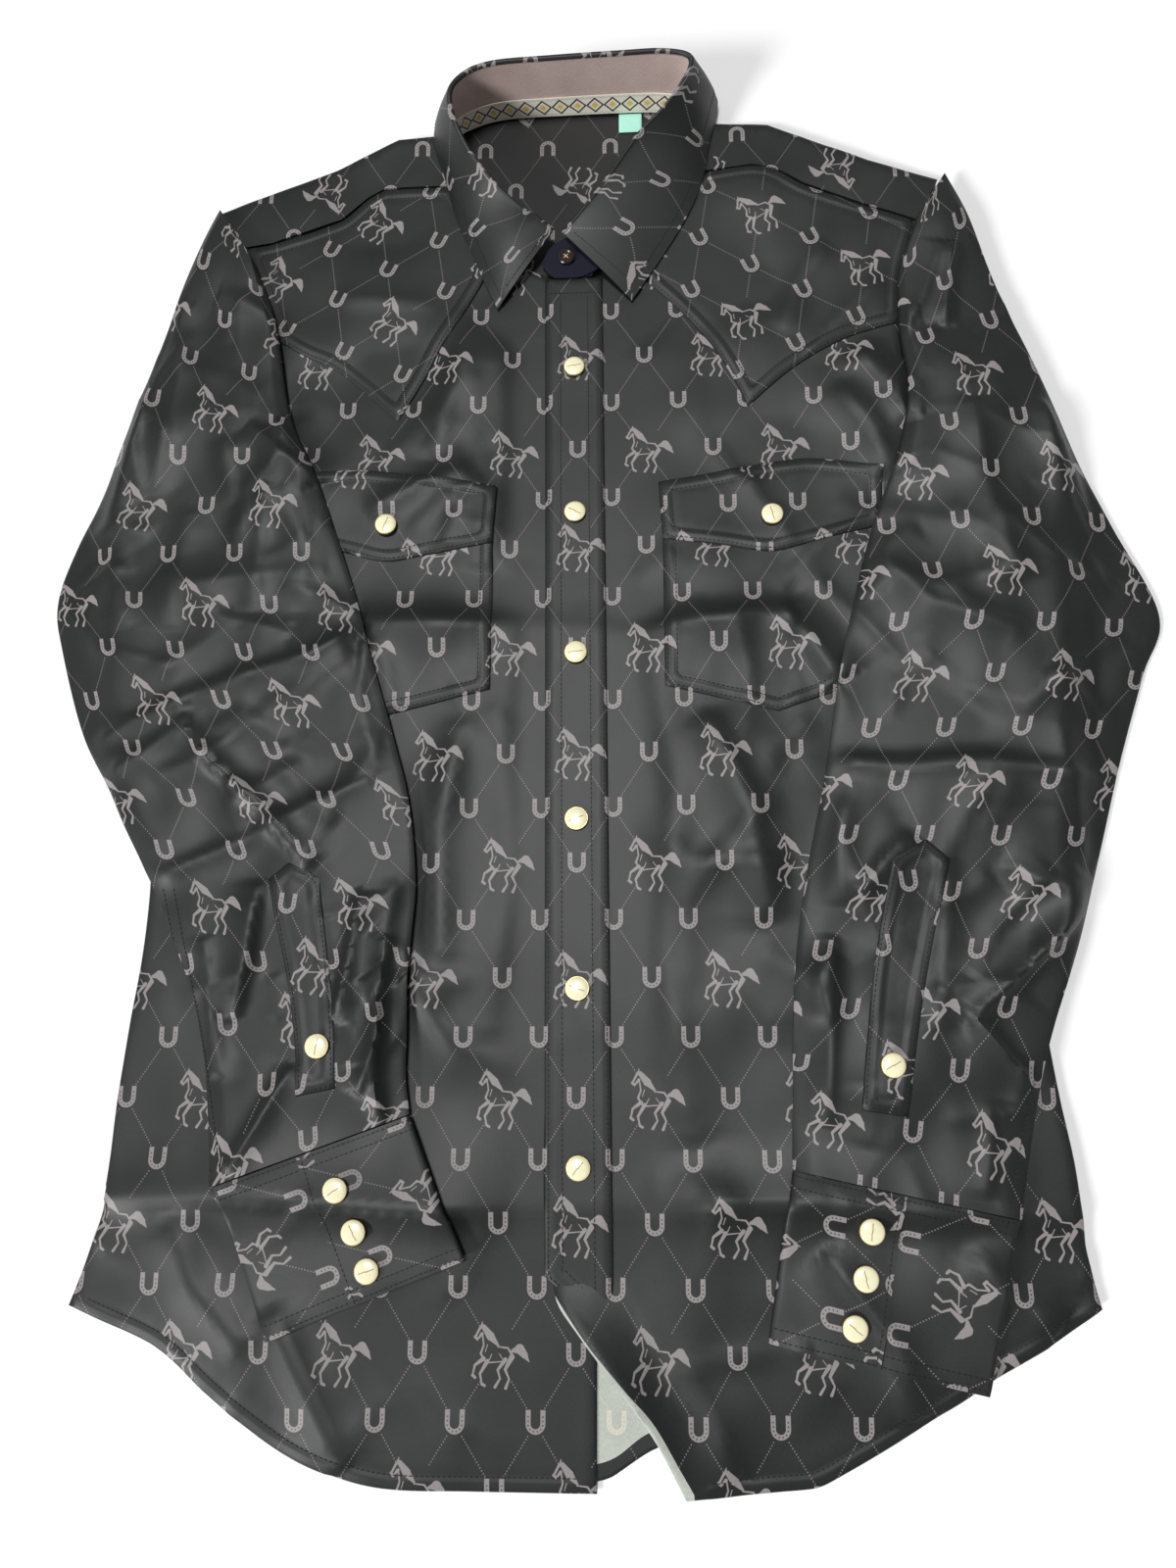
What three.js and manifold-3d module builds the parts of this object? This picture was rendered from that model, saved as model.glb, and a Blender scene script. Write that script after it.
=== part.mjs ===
// A snap-front shirt, laid flat on its back with the sleeves brought down over the front.
// Millimetres, +Z up. While it is drawn, x = 0 is the centre front, y = 0 the hem and z = 0 the table;
// the last lines move the origin to the middle of the finished shirt.
import * as THREE from "three";
import { mergeGeometries, mergeVertices } from "three/addons/utils/BufferGeometryUtils.js";
import Module from "manifold-3d";

const wasm = await Module();
wasm.setup();

// ---------------------------------------------------------------- driving dimensions
const CLOTH = 1.2; // wall of one layer of cloth
const GAP = 0.3; // air between two pieces that touch
const PLY = CLOTH + GAP; // how far one layer lifts the next

const PLACKET_WIDTH = 34;
const PLACKET_TOP = { x: -2.5, y: 654 };
const PLACKET_FOOT = { x: 1.5, y: 88 };
const PLACKET_SLANT = 30; // how much lower its right corner ends

const POCKET = { x: 109, halfWidth: 61, top: 512, cornerY: 400, pointY: 382 };
const FLAP = { halfWidth: 63, neckSide: 521, crownRise: 11, depth: 35, point: 12, tilt: 0.045 };

const SNAP = { radius: 6.25, height: 3.6, rim: 0.9 };
const BUTTON = { radius: 5, height: 2.2, holeRadius: 0.7, holeOffset: 1.6 };
const SNAP_HEIGHTS = [593, 501, 417, 324, 235, 147]; // up the front placket

const COLLAR_STEPS = 44; // sections round the collar
const BRAID_WIDTH = 13;
const LINING_WALL = 1;
const BRAID_WALL = 0.8;
const TAG = { x: 32, y: 766, width: 14, length: 13, wall: 0.6 };

// Heights of the layers above the table.
const BACK_Z = 0;
const UNDER_FRONT_Z = BACK_Z + PLY;
const OVER_FRONT_Z = UNDER_FRONT_Z + PLY;

// ---------------------------------------------------------------- colours
const PRINT_COLOUR = 0x25282b;
const NAVY = 0x1d2036;
const TAUPE = 0x6f6160;
const BRAID = 0xcfc6a6;
const TAG_COLOUR = 0x7fd0b8;
const PEARL = 0xf4efc9;
const BUTTON_COLOUR = 0x17130f;

// ---------------------------------------------------------------- outlines, in columns x, y
const LEFT_SIDE = [
  [-254, 80], [-247, 103], [-241, 125], [-238, 182], [-235, 216], [-231, 270], [-231, 310], [-241, 390],
  [-250, 446],
];
const LEFT_ARMHOLE = [
  [-250, 446], [-228, 468], [-203, 502], [-186, 540], [-178, 580], [-180, 612], [-194, 655], [-204, 682],
];
const LEFT_HEM = [
  [-254, 80], [-234, 72], [-211, 63], [-197, 54], [-179, 40], [-162, 28], [-143, 16], [-120, 7], [-92, 1],
  [-50, 0], [10, 0],
];
const RIGHT_SIDE = [
  [251, 84], [246, 110], [244, 148], [240, 180], [236, 220], [236, 300], [243, 390], [250, 446],
];
const RIGHT_ARMHOLE = [
  [250, 446], [230, 466], [208, 500], [196, 540], [190, 580], [188, 617], [190, 647], [200, 682],
];
const RIGHT_HEM = [
  [52, 0], [80, 2], [113, 5], [126, 11], [150, 24], [170, 36], [187, 46], [199, 54], [227, 69], [251, 84],
];
const BACK_HEM = [
  [-251, 83], [-232, 75], [-197, 57], [-162, 31], [-120, 10], [-60, 4], [10, 5], [17, 7], [39, 20], [62, 24],
  [100, 14], [126, 15], [170, 40], [199, 58], [227, 72], [248, 86],
];
const YOKE_SEAM_BEHIND = [
  [-190, 646], [-95, 634], [0, 610], [95, 634], [189, 646],
];
const LEFT_SHOULDER_SEAM = [
  [-204, 682], [-187, 685], [-146, 701], [-130, 716], [-120, 722], [-78, 722],
];
const LEFT_SHOULDER_FOLD = [
  [-222, 709], [-200, 718], [-151, 738], [-128, 749], [-112, 757], [-79, 760],
];
const RIGHT_SHOULDER_SEAM = [
  [76, 724], [105, 726], [119, 722], [135, 711], [165, 698], [200, 683],
];
const RIGHT_SHOULDER_FOLD = [
  [79, 760], [116, 756], [131, 748], [150, 739], [175, 728], [216, 713],
];
const LEFT_NECK = [
  [-78, 722], [-73, 711], [-62, 695], [-44, 675], [-26, 661], [-10, 655], [12, 654],
];
const RIGHT_NECK = [
  [-20, 654], [10, 655], [27, 664], [48, 684], [64, 706], [76, 724],
];
const BACK_NECK = [
  [-79, 758], [-72, 765], [-58, 772], [-30, 775], [0, 775], [30, 775], [58, 772], [72, 765], [79, 758],
];
const OVER_FRONT_TURN = [
  [52, 0], [46, 12], [35, 32], [23, 46], [13, 58], [1, 72], [-16, 94],
];

// The pointed front yokes, below the shoulder seam.
const LEFT_YOKE_EDGE = [
  [-58, 692], [-56, 660], [-64, 642], [-83, 608], [-92, 588], [-106, 563], [-130, 586], [-146, 599],
  [-163, 607], [-178, 616],
];
const RIGHT_YOKE_EDGE = [
  [187, 616], [162, 609], [145, 601], [123, 587], [98, 565], [90, 584], [76, 609], [58, 632], [40, 651],
  [42, 679],
];

// ---------------------------------------------------------------- sleeves, one row for each section
// columns: the outer edge, the inner edge, and how far the upper layer stands off the lower one
const LEFT_SLEEVE = [
  { outX: -225, outY: 711, inX: -199, inY: 671, loft: 1.0 },
  { outX: -241, outY: 652, inX: -182, inY: 628, loft: 2.0 },
  { outX: -256, outY: 594, inX: -169, inY: 568, loft: 2.6 },
  { outX: -274, outY: 534, inX: -151, inY: 528, loft: 2.8 },
  { outX: -292, outY: 488, inX: -136, inY: 486, loft: 3.0 },
  { outX: -300, outY: 454, inX: -122, inY: 444, loft: 3.0 },
  { outX: -294, outY: 424, inX: -113, inY: 414, loft: 2.8 },
  { outX: -276, outY: 373, inX: -99, inY: 367, loft: 2.8 },
  { outX: -254, outY: 338, inX: -90, inY: 333, loft: 2.8 },
  { outX: -228, outY: 292, inX: -85, inY: 292, loft: 2.6 },
  { outX: -214, outY: 262, inX: -86, inY: 264, loft: 2.6 },
  { outX: -201, outY: 233, inX: -87, inY: 238, loft: 2.4 },
  { outX: -192, outY: 200, inX: -87, inY: 212, loft: 2.2 },
  { outX: -187, outY: 172, inX: -87, inY: 192, loft: 2.0 },
  { outX: -182.2, outY: 137.6, inX: -84.4, inY: 172.6, loft: 1.6 },
];
const RIGHT_SLEEVE = [
  { outX: 219, outY: 713, inX: 198, inY: 676, loft: 1.0 },
  { outX: 230, outY: 682, inX: 188, inY: 648, loft: 1.6 },
  { outX: 243, outY: 634, inX: 186, inY: 612, loft: 2.2 },
  { outX: 260, outY: 584, inX: 188, inY: 572, loft: 2.6 },
  { outX: 277, outY: 537, inX: 180, inY: 531, loft: 2.8 },
  { outX: 296, outY: 487, inX: 163, inY: 484, loft: 3.0 },
  { outX: 316, outY: 434, inX: 150, inY: 437, loft: 3.0 },
  { outX: 304, outY: 400, inX: 142, inY: 404, loft: 2.8 },
  { outX: 287, outY: 352, inX: 133, inY: 353, loft: 2.8 },
  { outX: 270, outY: 298, inX: 121, inY: 300, loft: 2.6 },
  { outX: 259, outY: 268, inX: 115, inY: 268, loft: 2.6 },
  { outX: 248, outY: 240, inX: 111, inY: 238, loft: 2.4 },
  { outX: 234, outY: 204, inX: 109, inY: 206, loft: 2.2 },
  { outX: 223, outY: 164, inX: 108, inY: 180, loft: 2.0 },
  { outX: 213.2, outY: 125.6, inX: 106.2, inY: 147.6, loft: 1.6 },
];
// Where a section has its points, as shares of its width from the outer edge.
const LEFT_STATIONS = [0, 0.06, 0.14, 0.24, 0.34, 0.455, 0.55, 0.65, 0.76, 0.87, 0.95, 1];
const RIGHT_STATIONS = [0, 0.06, 0.15, 0.26, 0.39, 0.525, 0.62, 0.72, 0.82, 0.9, 0.96, 1];
// The slit facings lie on the upper layer, between two of the stations.
const LEFT_SLIT = { from: 5, to: 7, firstRow: 9, snap: [-132, 206] };
const RIGHT_SLIT = { from: 5, to: 7, firstRow: 9, snap: [156, 197] };
// The largest folds in the upper layers, in columns: where each starts and ends, height and half width.
const LEFT_FOLDS = [
  { x1: -258, y1: 590, x2: -178, y2: 520, height: 1.6, reach: 16 },
  { x1: -276, y1: 370, x2: -118, y2: 434, height: 2.2, reach: 12 },
  { x1: -222, y1: 382, x2: -166, y2: 320, height: 3.2, reach: 14 },
  { x1: -226, y1: 296, x2: -115, y2: 346, height: 1.6, reach: 12 },
  { x1: -196, y1: 280, x2: -186, y2: 190, height: 2.0, reach: 12 },
  { x1: -104, y1: 280, x2: -98, y2: 200, height: 2.4, reach: 10 },
];
const RIGHT_FOLDS = [
  { x1: 222, y1: 640, x2: 214, y2: 590, height: 1.6, reach: 14 },
  { x1: 135, y1: 354, x2: 286, y2: 344, height: 2.2, reach: 12 },
  { x1: 262, y1: 286, x2: 200, y2: 220, height: 3.2, reach: 14 },
  { x1: 200, y1: 220, x2: 224, y2: 182, height: 2.4, reach: 12 },
  { x1: 168, y1: 320, x2: 142, y2: 290, height: 1.8, reach: 12 },
];

// ---------------------------------------------------------------- cuffs: four corners and the lap
// near and far are the edges at the sleeve and at the hand; under and over are the two folded sides.
const LEFT_CUFF = {
  nearUnder: [-182, 137], nearOver: [-84, 172], farUnder: [-151, 66], farOver: [-54, 104],
  lap: 0.43, snaps: [[-118, 137], [-109, 117], [-102, 99]],
};
const RIGHT_CUFF = {
  nearUnder: [213, 125], nearOver: [106, 147], farUnder: [194, 47], farOver: [92, 69],
  lap: 0.5, snaps: [[142, 120], [138, 99], [132, 77]],
};
const CUFF_UNDERLAP = 0.24; // share of the width that lies under the lap
const CUFF_ROWS = 4;

// ---------------------------------------------------------------- collar, one row for each section
// columns: neck seam x, y, z; fold x, y, z; outer edge of the leaf x, y, z
const COLLAR = [
  [-24, 660, 6.6, -15, 681, 12, -48, 634, 5.6],
  [-40, 674, 6.6, -24, 686, 17, -56, 652, 5.6],
  [-56, 692, 6.6, -35, 691, 22, -65, 675, 5.6],
  [-70, 713, 6.6, -53, 707, 29, -75, 700, 5.6],
  [-77, 735, 6.6, -68, 729, 35, -82, 727, 5.6],
  [-77, 755, 6.6, -75, 753, 40, -90, 756, 5.6],
  [-66, 767, 3.0, -68, 768, 40, -82, 779, 3.0],
  [-45, 773, 2.4, -50, 776, 40, -56, 790, 2.4],
  [-10, 774, 2.4, -14, 778, 40, -14, 794, 2.2],
  [25, 774, 2.4, 26, 779, 40, 28, 794, 2.2],
  [50, 773, 2.4, 54, 779, 40, 60, 790, 2.4],
  [67, 768, 3.6, 69, 773, 40, 84, 780, 4.2],
  [76, 756, 6.8, 64, 760, 36, 84, 762, 7.0],
  [75, 742, 6.8, 53, 748, 30, 80, 741, 7.0],
  [68, 722, 6.8, 38, 735, 25, 76, 720, 7.0],
  [54, 698, 6.8, 20, 711, 20, 67, 695, 7.0],
  [36, 678, 6.8, 5, 693, 16, 51, 666, 7.0],
  [20, 668, 6.8, -8, 679, 12, 32, 636, 7.0],
];
const STAND_REACH = { from: 0.06, to: 0.95 }; // the ends of the stand are navy pieces of their own
const BRAID_REACH = { from: 0.22, to: 0.61 };

// ================================================================ helpers

/** A named mesh in its own finish. */
function piece(name, geometry, colour, roughness = 0.9, metalness = 0) {
  const material = new THREE.MeshStandardMaterial({ color: colour, roughness, metalness });
  const mesh = new THREE.Mesh(geometry, material);
  mesh.name = name;
  return mesh;
}

/** The outline of a piece from [x, y] pairs, with pairs that repeat left out. */
function outline(pairs) {
  const kept = pairs.filter(([x, y], i) => {
    const [px, py] = pairs[(i + pairs.length - 1) % pairs.length];
    return Math.hypot(x - px, y - py) > 0.01;
  });
  return new THREE.Shape(kept.map(([x, y]) => new THREE.Vector2(x, y)));
}

/** A flat panel: its outline as a wall of cloth, standing at height z. */
function flatPanel(pairs, z, wall = CLOTH) {
  const geometry = new THREE.ExtrudeGeometry(outline(pairs), { depth: wall, bevelEnabled: false });
  return geometry.translate(0, 0, z);
}

const reversed = (pairs) => [...pairs].reverse();
const mirrored = (pairs) => pairs.map(([x, y]) => [-x, y]).reverse();
const lerp = THREE.MathUtils.lerp;

/** The closed solid between two grids of points, where "top" lies outside "bottom" all over. */
function wallBetween(bottom, top) {
  const rows = bottom.length;
  const columns = bottom[0].length;
  const places = [];
  for (const grid of [bottom, top]) {
    for (const row of grid) {
      for (const p of row) places.push(p.x, p.y, p.z);
    }
  }
  const at = (side, i, j) => side * rows * columns + i * columns + j;
  const index = [];
  const quad = (a, b, c, d) => index.push(a, b, c, a, c, d);
  for (let i = 0; i < rows - 1; i++) {
    for (let j = 0; j < columns - 1; j++) {
      quad(at(1, i, j), at(1, i, j + 1), at(1, i + 1, j + 1), at(1, i + 1, j));
      quad(at(0, i, j), at(0, i + 1, j), at(0, i + 1, j + 1), at(0, i, j + 1));
    }
    quad(at(0, i, 0), at(1, i, 0), at(1, i + 1, 0), at(0, i + 1, 0));
    quad(at(0, i, columns - 1), at(0, i + 1, columns - 1), at(1, i + 1, columns - 1), at(1, i, columns - 1));
  }
  for (let j = 0; j < columns - 1; j++) {
    quad(at(0, 0, j), at(0, 0, j + 1), at(1, 0, j + 1), at(1, 0, j));
    quad(at(0, rows - 1, j), at(1, rows - 1, j), at(1, rows - 1, j + 1), at(0, rows - 1, j + 1));
  }
  return facingOut(places, index);
}

/** A tube of sections: each ring is a closed loop of points, and both ends are capped by "cap". */
function loftRings(rings, cap) {
  const count = rings[0].length;
  const places = rings.flatMap((ring) => ring.flatMap((p) => [p.x, p.y, p.z]));
  const index = [];
  for (let i = 0; i < rings.length - 1; i++) {
    for (let j = 0; j < count; j++) {
      const k = (j + 1) % count;
      const [a, b, c, d] = [i * count + j, i * count + k, (i + 1) * count + k, (i + 1) * count + j];
      index.push(a, b, c, a, c, d);
    }
  }
  const last = (rings.length - 1) * count;
  for (const [a, b, c] of cap) {
    index.push(a, c, b);
    index.push(last + a, last + b, last + c);
  }
  return facingOut(places, index);
}

/** The triangles that close a flat section, running the same way round as the section does. */
function capOf(section) {
  const turn = Math.sign(THREE.ShapeUtils.area(section));
  return THREE.ShapeUtils.triangulateShape(section, []).map(([a, b, c]) => {
    const same = Math.sign(THREE.ShapeUtils.area([section[a], section[b], section[c]])) === turn;
    return same ? [a, b, c] : [a, c, b];
  });
}

/** The mesh with its faces turned outwards, told by the sign of its volume. */
function facingOut(places, index) {
  let volume = 0;
  const point = (i) => new THREE.Vector3().fromArray(places, 3 * i);
  for (let i = 0; i < index.length; i += 3) {
    const [a, b, c] = [point(index[i]), point(index[i + 1]), point(index[i + 2])];
    volume += a.dot(b.cross(c));
  }
  if (volume < 0) {
    for (let i = 0; i < index.length; i += 3) {
      [index[i + 1], index[i + 2]] = [index[i + 2], index[i + 1]];
    }
  }
  const geometry = new THREE.BufferGeometry();
  geometry.setAttribute("position", new THREE.Float32BufferAttribute(places, 3));
  geometry.setIndex(index);
  return geometry;
}

/** A geometry as a manifold solid, for cutting and joining. */
function toManifold(geometry) {
  const bare = geometry.clone();
  bare.deleteAttribute("normal");
  bare.deleteAttribute("uv");
  const merged = mergeVertices(bare, 1e-3);
  return new wasm.Manifold(new wasm.Mesh({
    numProp: 3,
    vertProperties: new Float32Array(merged.attributes.position.array),
    triVerts: new Uint32Array(merged.index.array),
  }));
}

function fromManifold(solid) {
  const mesh = solid.getMesh();
  const geometry = new THREE.BufferGeometry();
  geometry.setAttribute("position", new THREE.BufferAttribute(mesh.vertProperties, 3));
  geometry.setIndex(new THREE.BufferAttribute(mesh.triVerts, 1));
  return geometry;
}

/** A polyline in [x, y] pairs, read by its share of length. */
function along(pairs) {
  const path = new THREE.CurvePath();
  for (let i = 0; i < pairs.length - 1; i++) {
    path.add(new THREE.LineCurve(new THREE.Vector2(...pairs[i]), new THREE.Vector2(...pairs[i + 1])));
  }
  return path;
}

/** The shares of length at which a polyline's corners lie. */
function cornersOf(pairs) {
  const lengths = along(pairs).getCurveLengths();
  return lengths.map((length) => length / lengths.at(-1));
}

/** The shares that both polylines' corners ask for, with those that nearly agree counted once. */
function sharedStations(first, second, least = 0.02) {
  const wanted = [...cornersOf(first), ...cornersOf(second)].sort((a, b) => a - b);
  const kept = [0];
  for (const share of wanted) {
    if (share - kept.at(-1) > least && 1 - share > least) kept.push(share);
  }
  return [...kept, 1];
}

/** A four-sided panel blended between its edges, with "lift" giving the height of each point. */
function blendedPanel({ foot, head, left, right }, lift) {
  const [across, up] = [sharedStations(foot, head), sharedStations(left, right)];
  const [f, h, l, r] = [foot, head, left, right].map(along);
  const point = (u, v) => {
    const [a, b, c, d] = [f.getPoint(u), h.getPoint(u), l.getPoint(v), r.getPoint(v)];
    const corner = (axis) =>
      lerp(lerp(foot[0][axis], foot.at(-1)[axis], u), lerp(head[0][axis], head.at(-1)[axis], u), v);
    const x = lerp(a.x, b.x, v) + lerp(c.x, d.x, u) - corner(0);
    const y = lerp(a.y, b.y, v) + lerp(c.y, d.y, u) - corner(1);
    return new THREE.Vector3(x, y, lift(x, y));
  };
  const under = up.map((v) => across.map((u) => point(u, v)));
  const over = under.map((row) => row.map((p) => p.clone().setZ(p.z + CLOTH)));
  return wallBetween(under, over);
}

/** How near a point is to a segment, and how far along it, as a share. */
function nearness(x, y, { x1, y1, x2, y2 }) {
  const [dx, dy] = [x2 - x1, y2 - y1];
  const share = THREE.MathUtils.clamp(((x - x1) * dx + (y - y1) * dy) / (dx * dx + dy * dy), 0, 1);
  return { share, distance: Math.hypot(x - x1 - share * dx, y - y1 - share * dy) };
}

/** The height that a list of folds adds at a point. Each one dies away towards its ends. */
function foldHeight(folds, x, y) {
  let height = 0;
  for (const fold of folds) {
    const { share, distance } = nearness(x, y, fold);
    const across = Math.max(0, 1 - distance / fold.reach);
    height += fold.height * across * Math.sin(Math.PI * lerp(0.12, 0.88, share));
  }
  return height;
}

// ================================================================ body

/** The corner of the over front that is turned back stands up along its edge. */
function turnedCorner(x, y) {
  const edge = { x1: 13, y1: 58, x2: 52, y2: 0 };
  const { share, distance } = nearness(x, y, edge);
  const rise = 11 * Math.sin(Math.PI * 0.9 * Math.max(0, share - 0.12));
  return rise * Math.max(0, 1 - distance / 48);
}

function back() {
  const pairs = [
    ...BACK_HEM, ...RIGHT_SIDE.slice(1), ...RIGHT_ARMHOLE.slice(1, -1), ...reversed(YOKE_SEAM_BEHIND),
    ...reversed(LEFT_ARMHOLE).slice(2, -1), ...reversed(LEFT_SIDE).slice(0, -1),
  ];
  return piece("back", flatPanel(pairs, BACK_Z), PRINT_COLOUR);
}

function underFront() {
  const pairs = [
    ...LEFT_HEM, ...reversed(LEFT_NECK), ...reversed(LEFT_SHOULDER_SEAM).slice(1),
    ...reversed(LEFT_ARMHOLE).slice(1), ...reversed(LEFT_SIDE).slice(1, -1),
  ];
  return piece("front_left", flatPanel(pairs, UNDER_FRONT_Z), PRINT_COLOUR);
}

function overFront() {
  const edges = {
    foot: RIGHT_HEM,
    head: [...RIGHT_NECK, ...RIGHT_SHOULDER_SEAM.slice(1)],
    left: [...OVER_FRONT_TURN, [-16, 200], [-18, 420], RIGHT_NECK[0]],
    right: [...RIGHT_SIDE, ...RIGHT_ARMHOLE.slice(1, -1), RIGHT_SHOULDER_SEAM.at(-1)],
  };
  const lift = (x, y) => OVER_FRONT_Z + turnedCorner(x, y);
  return piece("front_right", blendedPanel(edges, lift), PRINT_COLOUR);
}

/** The centre line of the front placket at a height y. */
function placketCentre(y) {
  const share = (y - PLACKET_FOOT.y) / (PLACKET_TOP.y - PLACKET_FOOT.y);
  return lerp(PLACKET_FOOT.x, PLACKET_TOP.x, share);
}

function frontPlacket() {
  const half = PLACKET_WIDTH / 2;
  const pairs = [
    [PLACKET_FOOT.x - half, PLACKET_FOOT.y + 8], [PLACKET_FOOT.x + half, PLACKET_FOOT.y + 8 - PLACKET_SLANT],
    [PLACKET_TOP.x + half, PLACKET_TOP.y], [PLACKET_TOP.x - half, PLACKET_TOP.y],
  ];
  return piece("front_placket", flatPanel(pairs, OVER_FRONT_Z + PLY), PRINT_COLOUR);
}

/** The yoke behind the shoulders, with the strips that wrap over them to the front seams. */
function backYoke() {
  const plate = flatPanel([
    ...YOKE_SEAM_BEHIND.map(([x, y]) => [x, y + GAP]), [196, 675], [210, 705],
    ...reversed(RIGHT_SHOULDER_FOLD).slice(1, -1).map(([x, y]) => [x, y - 4]),
    ...reversed(BACK_NECK), ...reversed(LEFT_SHOULDER_FOLD).slice(1, -1).map(([x, y]) => [x, y - 4]),
    [-213, 705], [-201, 675],
  ], BACK_Z);
  const left = shoulderStrip(LEFT_SHOULDER_FOLD, LEFT_SHOULDER_SEAM, UNDER_FRONT_Z + PLY + CLOTH);
  const right = shoulderStrip(RIGHT_SHOULDER_FOLD, RIGHT_SHOULDER_SEAM, OVER_FRONT_Z + PLY + CLOTH);
  const joined = toManifold(plate).add(toManifold(left)).add(toManifold(right));
  return piece("yoke_back", fromManifold(joined), PRINT_COLOUR);
}

/** Cloth that turns over the shoulder: a hairpin section along the fold, as high as the front's layers. */
function shoulderStrip(fold, seam, height) {
  const [foldLine, seamLine] = [along(fold), along(seam)];
  const radius = height / 2;
  const bend = 5;
  const under = 7; // how far the turned edge runs back below
  const rings = sharedStations(fold, seam, 0.004).map((share) => {
    const [start, end] = [foldLine.getPoint(share), seamLine.getPoint(share)];
    const inward = end.clone().sub(start);
    const reach = inward.length() - 2 * GAP;
    inward.normalize();
    const section = [];
    for (let k = 0; k <= bend; k++) {
      const angle = (Math.PI * k) / bend;
      section.push([radius * (1 - Math.sin(angle)), radius * (1 - Math.cos(angle))]);
    }
    section.push([reach, height], [reach, height - CLOTH]);
    for (let k = bend; k >= 0; k--) {
      const angle = (Math.PI * k) / bend;
      const inner = radius - CLOTH;
      section.push([radius - inner * Math.sin(angle), radius - inner * Math.cos(angle)]);
    }
    section.push([under, CLOTH], [under, 0]);
    return section.map(([d, z]) => new THREE.Vector3(start.x + d * inward.x, start.y + d * inward.y, z));
  });
  const start = foldLine.getPoint(0);
  return loftRings(rings, capOf(rings[0].map((p) => new THREE.Vector2(start.distanceTo(p), p.z))));
}

/** A pointed front yoke on its front, from the shoulder seam to its stitched edge. */
function frontYoke(side) {
  const left = side === "left";
  const pairs = left
    ? [...LEFT_SHOULDER_SEAM, ...LEFT_NECK.slice(1, 2), ...LEFT_YOKE_EDGE, [-194, 655]]
    : [...RIGHT_SHOULDER_SEAM, [190, 647], ...RIGHT_YOKE_EDGE, ...RIGHT_NECK.slice(-2, -1)];
  const z = (left ? UNDER_FRONT_Z : OVER_FRONT_Z) + PLY;
  return piece(`yoke_front_${side}`, flatPanel(pairs, z), PRINT_COLOUR);
}

/** Points given about a pocket's middle, tilted with it and moved to its side. */
function onPocket(side, pairs) {
  const tilt = FLAP.tilt;
  const placed = pairs.map(([dx, y]) => [POCKET.x + dx, y + tilt * dx]);
  return side === "right" ? placed : mirrored(placed);
}

function pocket(side) {
  const { halfWidth, top, cornerY, pointY } = POCKET;
  const pairs = [[-halfWidth, top], [-halfWidth, cornerY], [0, pointY], [halfWidth, cornerY], [halfWidth, top]];
  const z = (side === "left" ? UNDER_FRONT_Z : OVER_FRONT_Z) + PLY;
  return piece(`pocket_${side}`, flatPanel(onPocket(side, pairs), z), PRINT_COLOUR);
}

function flap(side) {
  const { halfWidth, neckSide, crownRise, depth, point } = FLAP;
  const foot = neckSide - depth;
  const pairs = [
    [-halfWidth, neckSide], [-halfWidth + 2, foot], [-24, foot - 0.6 * point], [0, foot - point],
    [24, foot - 0.6 * point], [halfWidth - 2, foot], [halfWidth, neckSide], [20, neckSide + 0.8 * crownRise],
  ];
  const z = (side === "left" ? UNDER_FRONT_Z : OVER_FRONT_Z) + 2 * PLY;
  return piece(`flap_${side}`, flatPanel(onPocket(side, pairs), z), PRINT_COLOUR);
}

// ================================================================ sleeves

const SLEEVE_SETS = {
  left: {
    sections: LEFT_SLEEVE, stations: LEFT_STATIONS, folds: LEFT_FOLDS, slit: LEFT_SLIT,
    cuff: LEFT_CUFF, base: UNDER_FRONT_Z + 3 * PLY, bodySide: [...LEFT_SIDE, ...LEFT_ARMHOLE.slice(1)],
  },
  right: {
    sections: RIGHT_SLEEVE, stations: RIGHT_STATIONS, folds: RIGHT_FOLDS, slit: RIGHT_SLIT,
    cuff: RIGHT_CUFF, base: OVER_FRONT_Z + 3 * PLY, bodySide: [...RIGHT_SIDE, ...RIGHT_ARMHOLE.slice(1)],
  },
};
const DROP = { start: 12, length: 22 }; // beyond the body's side the sleeve comes down to the table

/** How far outside the body's edge a point lies, or 0 over the body. */
function outsideBody(edge, x, y) {
  let limit = Math.abs(edge[0][0]);
  for (let i = 0; i < edge.length - 1; i++) {
    const [[x1, y1], [x2, y2]] = [edge[i], edge[i + 1]];
    if (y >= y1 && y <= y2) limit = Math.abs(lerp(x1, x2, (y - y1) / (y2 - y1)));
  }
  return Math.max(0, Math.abs(x) - limit);
}

/** The underside of a sleeve at a point. Above the underarm the body's widest line counts. */
function sleeveFloor(set, x, y) {
  const outside = y > 440 ? Math.max(0, Math.abs(x) - 250) : outsideBody(set.bodySide, x, y);
  const share = THREE.MathUtils.clamp((outside - DROP.start) / DROP.length, 0, 1);
  return lerp(set.base, GAP, share);
}

/** A point of a sleeve section: across it by share, at height extra above the lower surface. */
function sleevePoint(set, section, share, extra) {
  const x = lerp(section.outX, section.inX, share);
  const y = lerp(section.outY, section.inY, share);
  return new THREE.Vector3(x, y, sleeveFloor(set, x, y) + extra(x, y));
}

/** The height of a sleeve's top above its underside at a point. */
function sleeveDepth(set, section, share, x, y) {
  const arch = Math.sqrt(Math.sin(Math.PI * share));
  const fold = foldHeight(set.folds, x, y) * Math.min(1, 6 * share, 6 * (1 - share));
  return 2 * CLOTH + GAP + section.loft * arch + fold;
}

/** The grid of points on the upper side of a sleeve. */
function sleeveTop(set) {
  return set.sections.map((section) =>
    set.stations.map((share) =>
      sleevePoint(set, section, share, (x, y) => sleeveDepth(set, section, share, x, y))));
}

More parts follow.
